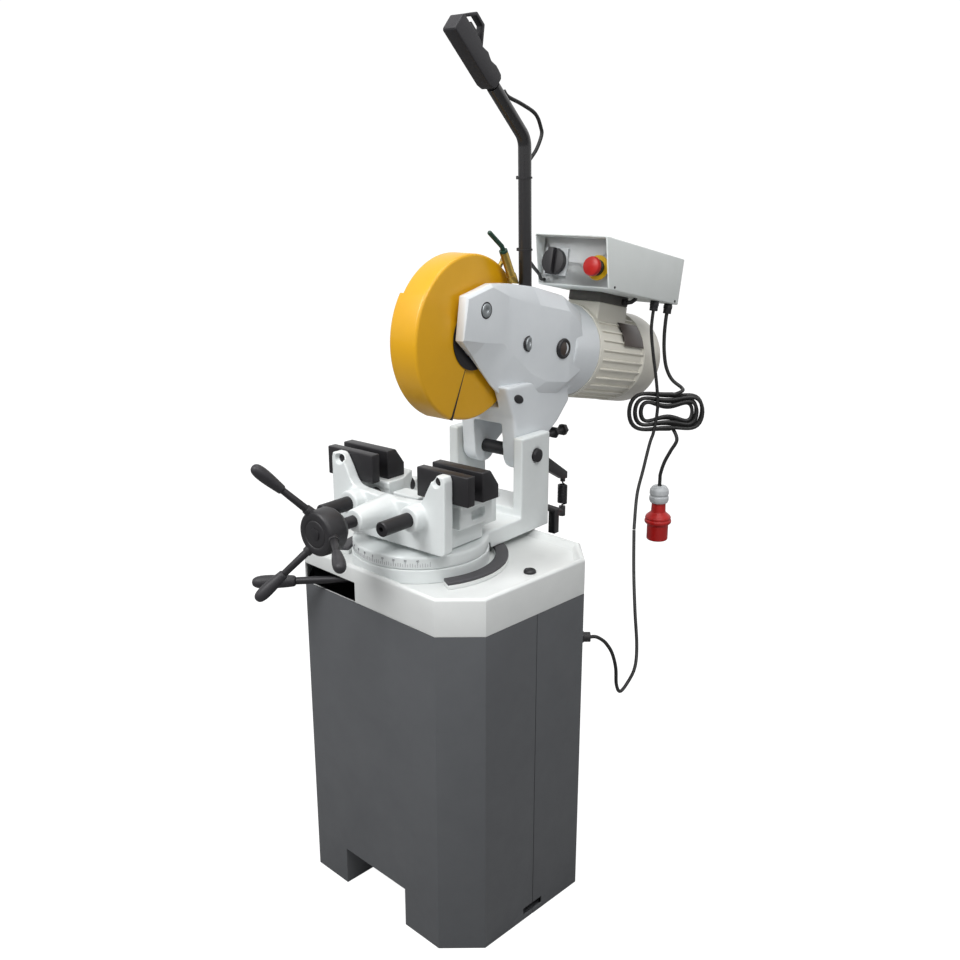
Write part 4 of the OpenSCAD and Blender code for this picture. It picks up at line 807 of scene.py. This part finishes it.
# %% Spin the guards
GUARD_AT = SAW @ shift(*ARBOR) @ ACROSS
SHOULDER = 7


def channel_profile(radius, half, wall, hole_left, hole_right):
    def shoulder(r, h, round_r, up):
        turns = [radians(90 * i / 4) for i in range(5)]
        arc = [(r - round_r + round_r * sin(t), h - round_r + round_r * cos(t)) for t in turns]
        return arc if up else [(a, -b) for a, b in reversed(arc)]
    outside = [(hole_right, half)] + shoulder(radius, half, SHOULDER, True) + shoulder(radius, half, SHOULDER, False)
    inside = shoulder(radius - wall, half - wall, SHOULDER - wall, True)
    inside += shoulder(radius - wall, half - wall, SHOULDER - wall, False)
    return outside + [(hole_left, -half), (hole_left, wall - half)] + inside[::-1] + [(hole_right, half - wall)]


fixed = lathe("fixed_guard", channel_profile(173, 33, 2.5, 45, 30), -113.4, 258.4, 96)
settled(smooth_shaded(fixed), GUARD_AT, guard_enamel, "head", "upper_guard")
swing = lathe("swing_guard", channel_profile(178, 37, 2.5, 62, 56), 145, 100, 40)
collar = lathe("swing_collar", [(50.2, 34.2), (62, 34.2), (62, 37.4), (50.2, 37.4)])
swing = smooth_shaded(joined("swing_guard", swing, collar))
settled(swing, GUARD_AT, guard_enamel, "guard", "lower_guard")
# A thin black disc on the guard's face stands for the shadowed opening between the guard and the gear case: painted
# shade.
hub_shade = softened(lathe("hub_shade_disc", [(40, 37.9), (67, 37.9), (67, 39.6), (40, 39.6)]), 0.4)
settled(hub_shade, GUARD_AT, black_oxide, "head")
# A thin black strip over the joint of the two guards stands for the shadow in the gap between them: painted shade.
gap_shade_at = [(68, -114.6), (177.5, -115.2), (177.5, -113.2), (68, -113.8)]
gap_shade_corners = [(r * cos(radians(a)), r * sin(radians(a))) for r, a in gap_shade_at]
gap_shade = settled(softened(plate("guard_gap_shade", gap_shade_corners, 30, 37.6), 0.3, 2), GUARD_AT, black_oxide, "head")
dressed("blade_flange", bright_steel, 1)
dressed("arbor", bright_steel, 0.8)
dressed("arbor_bearing", bright_steel, 0.5)
wheel_profile = [(15.2, 47.6), (37, 47.6), (37, 51), (22, 57), (15.2, 57)]
wheel = softened(lathe("bronze_wheel", wheel_profile), 0.6, 2)
settled(wheel, GUARD_AT, wheel_bronze, "spindle", "worm_wheel")
dressed("worm_shaft", bright_steel, 0.5)
dressed("motor_rotor", bright_steel, 0.8)
bearing_cover = lathe("bearing_cover", [(26.3, 33.2), (38, 33.2), (38, 45.8), (26.3, 45.8)])
settled(softened(bearing_cover, 0.6, 2), GUARD_AT, case_enamel, "head", "bearing_plate")

# %% [markdown]
# ## Blade
# A cold saw blade has fine teeth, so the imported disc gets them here: a ring of corners that step out and in, extruded
# to the blade's thickness.

# %% Cut the blade's teeth
BLADE_R = 157.5
TEETH = 120
BLADE_HALF = 1.25
teeth = []
for k in range(TEETH):
    for share, depth in ((0, 0), (0.35, 3.2), (0.7, 3.4)):
        a = 2 * pi * (k + share) / TEETH
        teeth.append(((BLADE_R - depth) * cos(a), (BLADE_R - depth) * sin(a)))
blade = carved(plate("toothed_blade", teeth, -BLADE_HALF, BLADE_HALF), rod("bore", 15, (0, 0, -9), (0, 0, 9)))
settled(smooth_shaded(blade, 20), GUARD_AT, blade_steel, "spindle", "blade")

# %% [markdown]
# ## Gear case
# The gear case is the saw's face: a nose, a flared cheek with broad chamfers, a round bell towards the motor and a
# yoke that straddles the pivot. Its cheek is bridged from three rings of nineteen corners and closed by three flat
# faces, so that every chamfer keeps its own slope. The bell, crown, flange and yoke behind it are carved for the
# guard and cast as one skin, and the cheek is set into it.

# %% Bridge the cheek
NOSE_X = 68
CREASE_Y = 77
BELL_Y = 262
BELL_DOWN = -52
CASE_X = 100
CHEEK_BACK = 45
face = [(-68, 7), (0, -7), (62, -16), (77, -28), (94, -44), (145, -90), (192, -114), (255, -124), (262, -121.4),
        (303, -106), (319, -64), (315, -28), (300, 8), (262, 34.6), (170, 56), (90, 78), (77, 83.5), (26, 105),
        (-52, 88)]
full = [(-68, 4, 64), (-24, -34, 54), (18, -78, 49), (29, -90, 49), (42, -104, 49), (64, -124, 52), (130, -146, 66),
        (240, -158, 72), (255, -154, 72), (338, -128, 72), (368, -71, 72), (366, -22, 72), (332, 29, 76),
        (254, 70, 82), (152, 97, 78), (84, 108, 64), (74, 109, 62), (28, 112, 61), (-55, 93, 63)]
creases = [(3, 16), (8, 13)]
flats = [(0, 1, 2, 3, 16, 17, 18), (3, 4, 5, 6, 7, 8, 13, 14, 15, 16), (8, 9, 10, 11, 12, 13)]


def cheek_x(y):
    return NOSE_X + (CASE_X - NOSE_X) * min(max((y - CREASE_Y) / (BELL_Y - CREASE_Y), 0), 1)


cheek_rings = [[(y, z, cheek_x(y)) for y, z in face], full, [(y, z, CHEEK_BACK) for y, z, _ in full]]
cheek = filled(loft("cheek", cheek_rings, [-1]), *creases, *flats)
softened(cheek, 5, 3, 9)
print("cheek faces", len(cheek.data.polygons))

# %% Cast the bell, the crown and the yoke, and add the cheek
bell = lathe("bell", [(0, -100), (70, -100), (108, -72), (108, 74), (0, 74)], steps=96)
set_down(bell, shift(BELL_Y, BELL_DOWN, 0))
crown_outline = [(190, -120), (262, -125), (300, -60), (300, 30), (262, 67), (190, 89)]
crown = softened(plate("crown", crown_outline, -94, 50), 14, 3)
flange = rod("flange", 104, (0, 20, 0), (0, 110, 0), 113, sides=96)
set_down(flange, GUARD_AT.inverted() @ MOTOR)
leg = [(97, -269), (173, -269), (255, -217), (300, -174), (285, -109), (60, -109), (90, -184)]
YOKE_HALF = 78
yoke = softened(plate("yoke", leg, -YOKE_HALF, YOKE_HALF), 6, 3)
lug = softened(rod("lug", 38, (135, -269, -YOKE_HALF), (135, -269, YOKE_HALF), sides=64), 4)
gear_case = as_casting(joined("case_casting", bell, crown, flange, yoke, lug), 2.8, 0)
guard_room = rod("guard_room", 181, (0, 0, -41), (0, 0, 39.8), sides=96)
carved(gear_case, guard_room, block("yoke_slot", (0, -400, -40), (420, -200, 40)))
gear_case = as_casting(gear_case, 2.4, 4)
gear_case = joined("case_casting", gear_case, cheek)
settled(smooth_shaded(gear_case, 30), GUARD_AT, case_enamel, "head", "gear_case")
print("case faces", len(gear_case.data.polygons))

# %% Plugs, drain and oil window
plug_profile = [(0, 0.5), (4, 0.5), (5, 2.5), (13.5, 2.5), (15, 1), (15, -6), (0, -6)]
FLARE = Matrix.Rotation(radians(9.8), 4, "Y")
plug_places = [shift(4, 60, NOSE_X), shift(138, -24, cheek_x(138)) @ FLARE]
plugs = set_round([(lathe("case_plug", plug_profile, steps=32), place) for place in plug_places])
settled(softened(joined("oil_plugs", *plugs), 0.6, 2), GUARD_AT, zinc_sheet, "head", "case_plugs")
seal_profile = [(14.5, 0), (15.5, 1), (17, 1), (17.6, 0), (17.6, -5), (14.5, -5)]
seals = set_round([(lathe("seal", seal_profile, steps=32), place) for place in plug_places])
drain_oval = [(103 + 16 * cos(a) + 3 * sin(a), -141 - 6 * cos(a) + 9 * sin(a))
              for a in [2 * pi * k / 28 for k in range(28)]]
seals.append(softened(plate("drain", drain_oval, 60, 80), 1.5))
plug_seals = joined("plug_seals", *seals)
settled(smooth_shaded(plug_seals), GUARD_AT, black_plastic, "head")
window_rim = lathe("window_rim", [(15, 2), (17, 4.5), (21, 4.5), (23, 2), (23, -6), (15, -6)], steps=48)
settled(softened(window_rim, 0.8), GUARD_AT @ shift(243, -46, cheek_x(243)), black_plastic, "head")
window = lathe("oil_window", [(0, 3), (6, 2.8), (15.5, 1), (15.5, -4), (0, -4)], steps=48)
settled(smooth_shaded(window), GUARD_AT @ shift(243, -46, cheek_x(243)), plate_paint, "head")

# %% [markdown]
# ## Motor
# The motor is a cream barrel with low cooling ribs, plain bands at both ends, a blank rating plate and a pressed fan
# cover with a round shoulder and a pattern of holes.

# %% Build the motor
barrel_profile = [(40, 110), (114, 110), (114, 124), (112, 127), (108, 131), (108, 309), (112, 313), (114, 316),
                  (114, 325), (40, 325)]
barrel = lathe("barrel", barrel_profile, steps=120)
RIBS = 30
ribs = []
for k in range(RIBS):
    rib = block("rib", (105, -2, 128), (113, 2, 312))
    ribs.append((softened(rib, 1.2, 2), Matrix.Rotation(2 * pi * (k + 0.5) / RIBS, 4, "Z")))
barrel = joined("motor_barrel", barrel, *set_round(ribs))
pad = softened(block("pad", (-10, 128, 70), (80, 255, 121)), 3)
barrel = joined("motor_barrel", set_down(barrel, BACK), pad)
settled(smooth_shaded(barrel, 30), MOTOR, motor_enamel, "head", "motor_body")

COVER_R = 114
COVER_BACK = 412
COVER_ROUND = 25
SKIN = 2


def cover_arc(turns, skin):
    inner, far = COVER_R - COVER_ROUND - skin, COVER_BACK - COVER_ROUND - skin
    return [(inner + COVER_ROUND * sin(radians(a)), far + COVER_ROUND * cos(radians(a))) for a in turns]


cover_profile = [(0, 406), (64, 409)] + cover_arc((0, 18, 36, 54, 72, 90), 0) + [(114, 325), (112, 325)]
cover_profile += cover_arc((90, 54, 18, 0), SKIN) + [(64, 407), (0, 404)]
cover = lathe("fan_cover_shell", cover_profile, steps=96)
GRILLE_STEP = 24
GRILLE_R = 5
holes = []
for row in (1, 2, 3):
    for k in range(6 * row):
        a = 2 * pi * k / (6 * row)
        x, y = row * GRILLE_STEP * cos(a), row * GRILLE_STEP * sin(a)
        holes.append(rod("hole", GRILLE_R, (x, y, COVER_BACK - COVER_ROUND), (x, y, COVER_BACK + GRILLE_R), sides=16))
carved(cover, joined("holes", *holes))
settled(smooth_shaded(cover, 30), MOTOR @ BACK, motor_enamel, "head", "fan_cover")
rating_profile = [(113.4, 218), (114.8, 218), (114.8, 308), (113.4, 308)]
rating = softened(lathe("rating_plate", rating_profile, -45, 31, 16), 0.3, 2)
settled(rating, MOTOR @ BACK, plate_paint, "head")
# Its darker plastic carries painted shade for the shadow under the control box.
dressed("terminal_box", terminal_plastic_with_shade, 2)
elbow_route = [(78, 232, 131), (92, 233, 131), (100, 236, 133), (106, 241, 140), (107, 243, 150)]
elbow = tube("terminal_elbow", [Vector(p) * MM for p in elbow_route], 10)
gland_nut = softened(rod("gland_nut", 8.5, (79, 232, 131), (90, 233, 131), sides=24), 1)
elbow = settled(joined("terminal_elbow", elbow, gland_nut), MOTOR, black_plastic, "head")

# %% [markdown]
# ## Control box
# The control box is bent sheet: a hood and two cheeks whose front edges slope, a sunk panel with the main switch and
# the stop button, and screws along the lower edge. Its side outline is extruded across and the recess is carved.

# %% Fold the control box
BOX_X = (-38, 158)
box_outline = [(36, 144), (362, 144), (362, 256), (-2, 256)]
box = softened(set_down(plate("box", box_outline, *BOX_X), ACROSS), 3, 3)
recess = block("recess", (BOX_X[0] + 3, -40, 147.5), (BOX_X[1] - 3, 38, 252.5))
carved(box, recess)
box.name = "control_box_shell"
settled(smooth_shaded(box, 30), MOTOR, box_powder, "head", "control_box")
screw_heads = [rod("screw", 3.2, (BOX_X[1] - 0.5, y, z), (BOX_X[1] + 1.6, y, z), 2.6, 16)
               for y, z in ((58, 151), (342, 151))]
box_screws = smooth_shaded(joined("box_screws", *screw_heads))
settled(box_screws, MOTOR, black_oxide, "head")
dressed("control_panel", panel_alloy)
dressed("switch_plate", switch_grey, 1.2)
dressed("switch_knob", black_plastic, 1.5, 3)
STOP_AT = MOTOR @ shift(120, 38, 190) @ UPRIGHT
collar = lathe("stop_plate", [(9.2, 0), (28, 0), (28, 1.5), (27, 2.5), (9.2, 2.5)], steps=56)
settled(smooth_shaded(collar), STOP_AT, yellow_plastic, "head", "estop_collar")
bezel = lathe("stop_bezel", [(9.2, 2.5), (18, 2.5), (18, 8.5), (16, 10), (9.2, 10)], steps=48)
settled(smooth_shaded(bezel), STOP_AT, black_plastic, "head")
stop_profile = [(0, -8), (9, -8), (9, 17), (14, 19.5), (21, 20.3), (22, 22), (22, 27), (20, 31), (13, 33.6),
                (0, 34.3)]
stop = lathe("stop_mushroom", stop_profile, steps=56)
settled(smooth_shaded(stop, 40), STOP_AT, red_plastic, "stop", "estop_button")
dressed("cord_glands", black_plastic, 1)

# %% [markdown]
# ## Handle
# A black tube rises from the case, bends towards the operator and carries a moulded grip. The grip's side is an
# outline with finger hollows and a loop round the trigger, extruded and rounded.

# %% Bend the tube and mould the grip
TUBE_D = 28
TUBE_FOOT = (60, 279, 1340)
TUBE_LEAN = 1.6
TUBE_UP = 287
TUBE_SUNK = -8
BEND_R = 40
LEAN = shift(*TUBE_FOOT) @ Matrix.Rotation(radians(TUBE_LEAN), 4, "X")
bend_mid = (LEAN @ Vector((0, -BEND_R * MM, TUBE_UP * MM))) / MM
tube_line = [(LEAN @ Vector((0, 0, TUBE_SUNK * MM))) / MM]
for step in range(13):
    a = radians(TUBE_LEAN + (GRIP_LEAN - TUBE_LEAN) * step / 12)
    tube_line.append(bend_mid + Vector((0, BEND_R * cos(a), BEND_R * sin(a))))
tube_line.append(Vector(GRIP_FOOT))
handle = tube("handle_column", [p * MM for p in tube_line], TUBE_D, 8)
settled(handle, SAW, tube_enamel, "head", "handle_tube")
ties = []
for up in (79, 226):
    ties.append((lathe("tie", [(14.1, -2), (16, -2), (16, 2), (14.1, 2)], steps=32), LEAN @ shift(0, 0, up)))
    ties.append((softened(block("tie_head", (-18, -7, -3), (-13, -1, 4)), 0.6, 2), LEAN @ shift(0, 0, up)))
cable_ties = joined("cable_ties", *set_round(ties))
settled(smooth_shaded(cable_ties), SAW, black_plastic, "head")

grip_outline = [(-21, 24), (-16, 8), (-8, 3), (14, 3), (20, 9), (21.5, 20), (22, 30), (19, 40), (17, 47), (19, 55),
                (22, 64), (19, 74), (17, 81), (19, 90), (21.5, 98), (20, 106), (20, 156), (15, 160), (-17, 160),
                (-21, 157)]
grip_side = plate("grip_side", grip_outline, -16, 16)
loop_outline = [(17, 71), (57, 97.6), (57, 128), (17, 158), (17, 151), (50, 124.5), (50, 101), (17, 78)]
loop = plate("loop", loop_outline, -8, 8)
grip = softened(joined("grip_body", softened(grip_side, 2.5, 3), softened(loop, 1.5, 2)), 0.1, 1, 80)
settled(smooth_shaded(grip, 40), GRIP @ ACROSS, grip_rubber, "head", "grip")
dressed("trigger", black_plastic, 2, 3)

# %% [markdown]
# ## Coolant tap
# A brass tap with a green-sleeved lever feeds the blade from the case top.

# %% Turn the tap
dressed("coolant_tap", tap_brass, 0.8)
dressed("tap_lever", lever_vinyl, 1.2)

# %% [markdown]
# ## Return spring and stops
# A spring behind the upright lifts the head after a cut. Its coil is swept once more with finer steps.

# %% Wind the spring
SPRING_AT = (60, 438, 806)
SPRING_H = 61.7
WIRE_R = 1.9
COIL_R = 10.1
SPRING_TURNS = 12
SPRING_END = 8
coil = [Vector((0, 0, 0)), Vector((0, 0, 2 * WIRE_R))]
for i in range(SPRING_TURNS * 24 + 1):
    a = 2 * pi * i / 24
    rise = (SPRING_H - 2 * SPRING_END) * i / (SPRING_TURNS * 24)
    coil.append(Vector((COIL_R * cos(a), COIL_R * sin(a), SPRING_END + rise)))
coil += [Vector((0, 0, SPRING_H - 2 * WIRE_R)), Vector((0, 0, SPRING_H))]
spring = tube("lift_spring", [SAW @ shift(*SPRING_AT) @ (p * MM) for p in coil], 2 * WIRE_R, 3)
spring.data.materials.append(spring_steel)
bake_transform(spring)
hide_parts("return_spring")
dressed("spring_anchor", tube_enamel, 1.2)
dressed("spring_lever", tube_enamel, 1.5)
dressed("stop_bolt", black_oxide, 0.8)

# %% [markdown]
# ## Floor and light
# A pale floor, a white world and three broad lamps: a key from the front, a fill from the right and a soft top. The
# floor and the world are white to the camera but light the saw at a plain level.

# %% Set the stage
bpy.ops.object.select_all(action="DESELECT")
bpy.ops.mesh.primitive_plane_add(size=40)
floor = named("floor")
FLOOR_GLOW = 0.5
FLOOR_WHITE = 1.95
floor_finish, floor_tree, floor_shader, _ = blank_finish("pale_floor", Roughness=0.9)
floor_shader.inputs["Base Color"].default_value = linear("#a4a4a4")
floor_ray = add(floor_tree, "LightPath")
floor_share = add(floor_tree, "Math", {0: floor_ray.outputs["Is Camera Ray"], 1: FLOOR_GLOW}, operation="MULTIPLY")
floor_glow = add(floor_tree, "Emission", {"Color": linear("#ffffff"), "Strength": FLOOR_WHITE})
floor_mix = add(floor_tree, "MixShader",
                {0: floor_share.outputs[0], 1: floor_shader.outputs[0], 2: floor_glow.outputs[0]})
floor_tree.links.new(floor_mix.outputs[0], floor_tree.get_output_node("ALL").inputs["Surface"])
floor.data.materials.append(floor_finish)

world = bpy.data.worlds.new("studio")
bpy.context.scene.world = world
world.use_nodes = True
world.node_tree.nodes.clear()
ray = add(world.node_tree, "LightPath")
seen = add(world.node_tree, "Math", {0: ray.outputs["Is Camera Ray"], 1: ray.outputs["Is Glossy Ray"]},
           operation="MAXIMUM")
level = add(world.node_tree, "MapRange", {"Value": seen.outputs[0], "To Min": 0.33, "To Max": 1.05})
sky = add(world.node_tree, "Background", {"Color": linear("#ffffff"), "Strength": level.outputs[0]})
add(world.node_tree, "OutputWorld", {"Surface": sky.outputs[0]})


def lamp(name, at, aim, size, power):
    light = bpy.data.lights.new(name, "AREA")
    light.size = size
    light.energy = power
    made = bpy.data.objects.new(name, light)
    bpy.context.scene.collection.objects.link(made)
    made.location = at
    made.rotation_euler = (Vector(aim) - Vector(at)).to_track_quat("-Z", "Y").to_euler()
    return made


MIDDLE = (0, 0, 1.1)
lamp("key", (-0.4, -3.0, 3.9), MIDDLE, 1.6, 115)
lamp("fill", (2.6, -1.2, 4.2), MIDDLE, 1.8, 82)
lamp("top", (0.2, 0.6, 4.6), MIDDLE, 2.2, 45)
bpy.context.scene.view_settings.view_transform = "Standard"
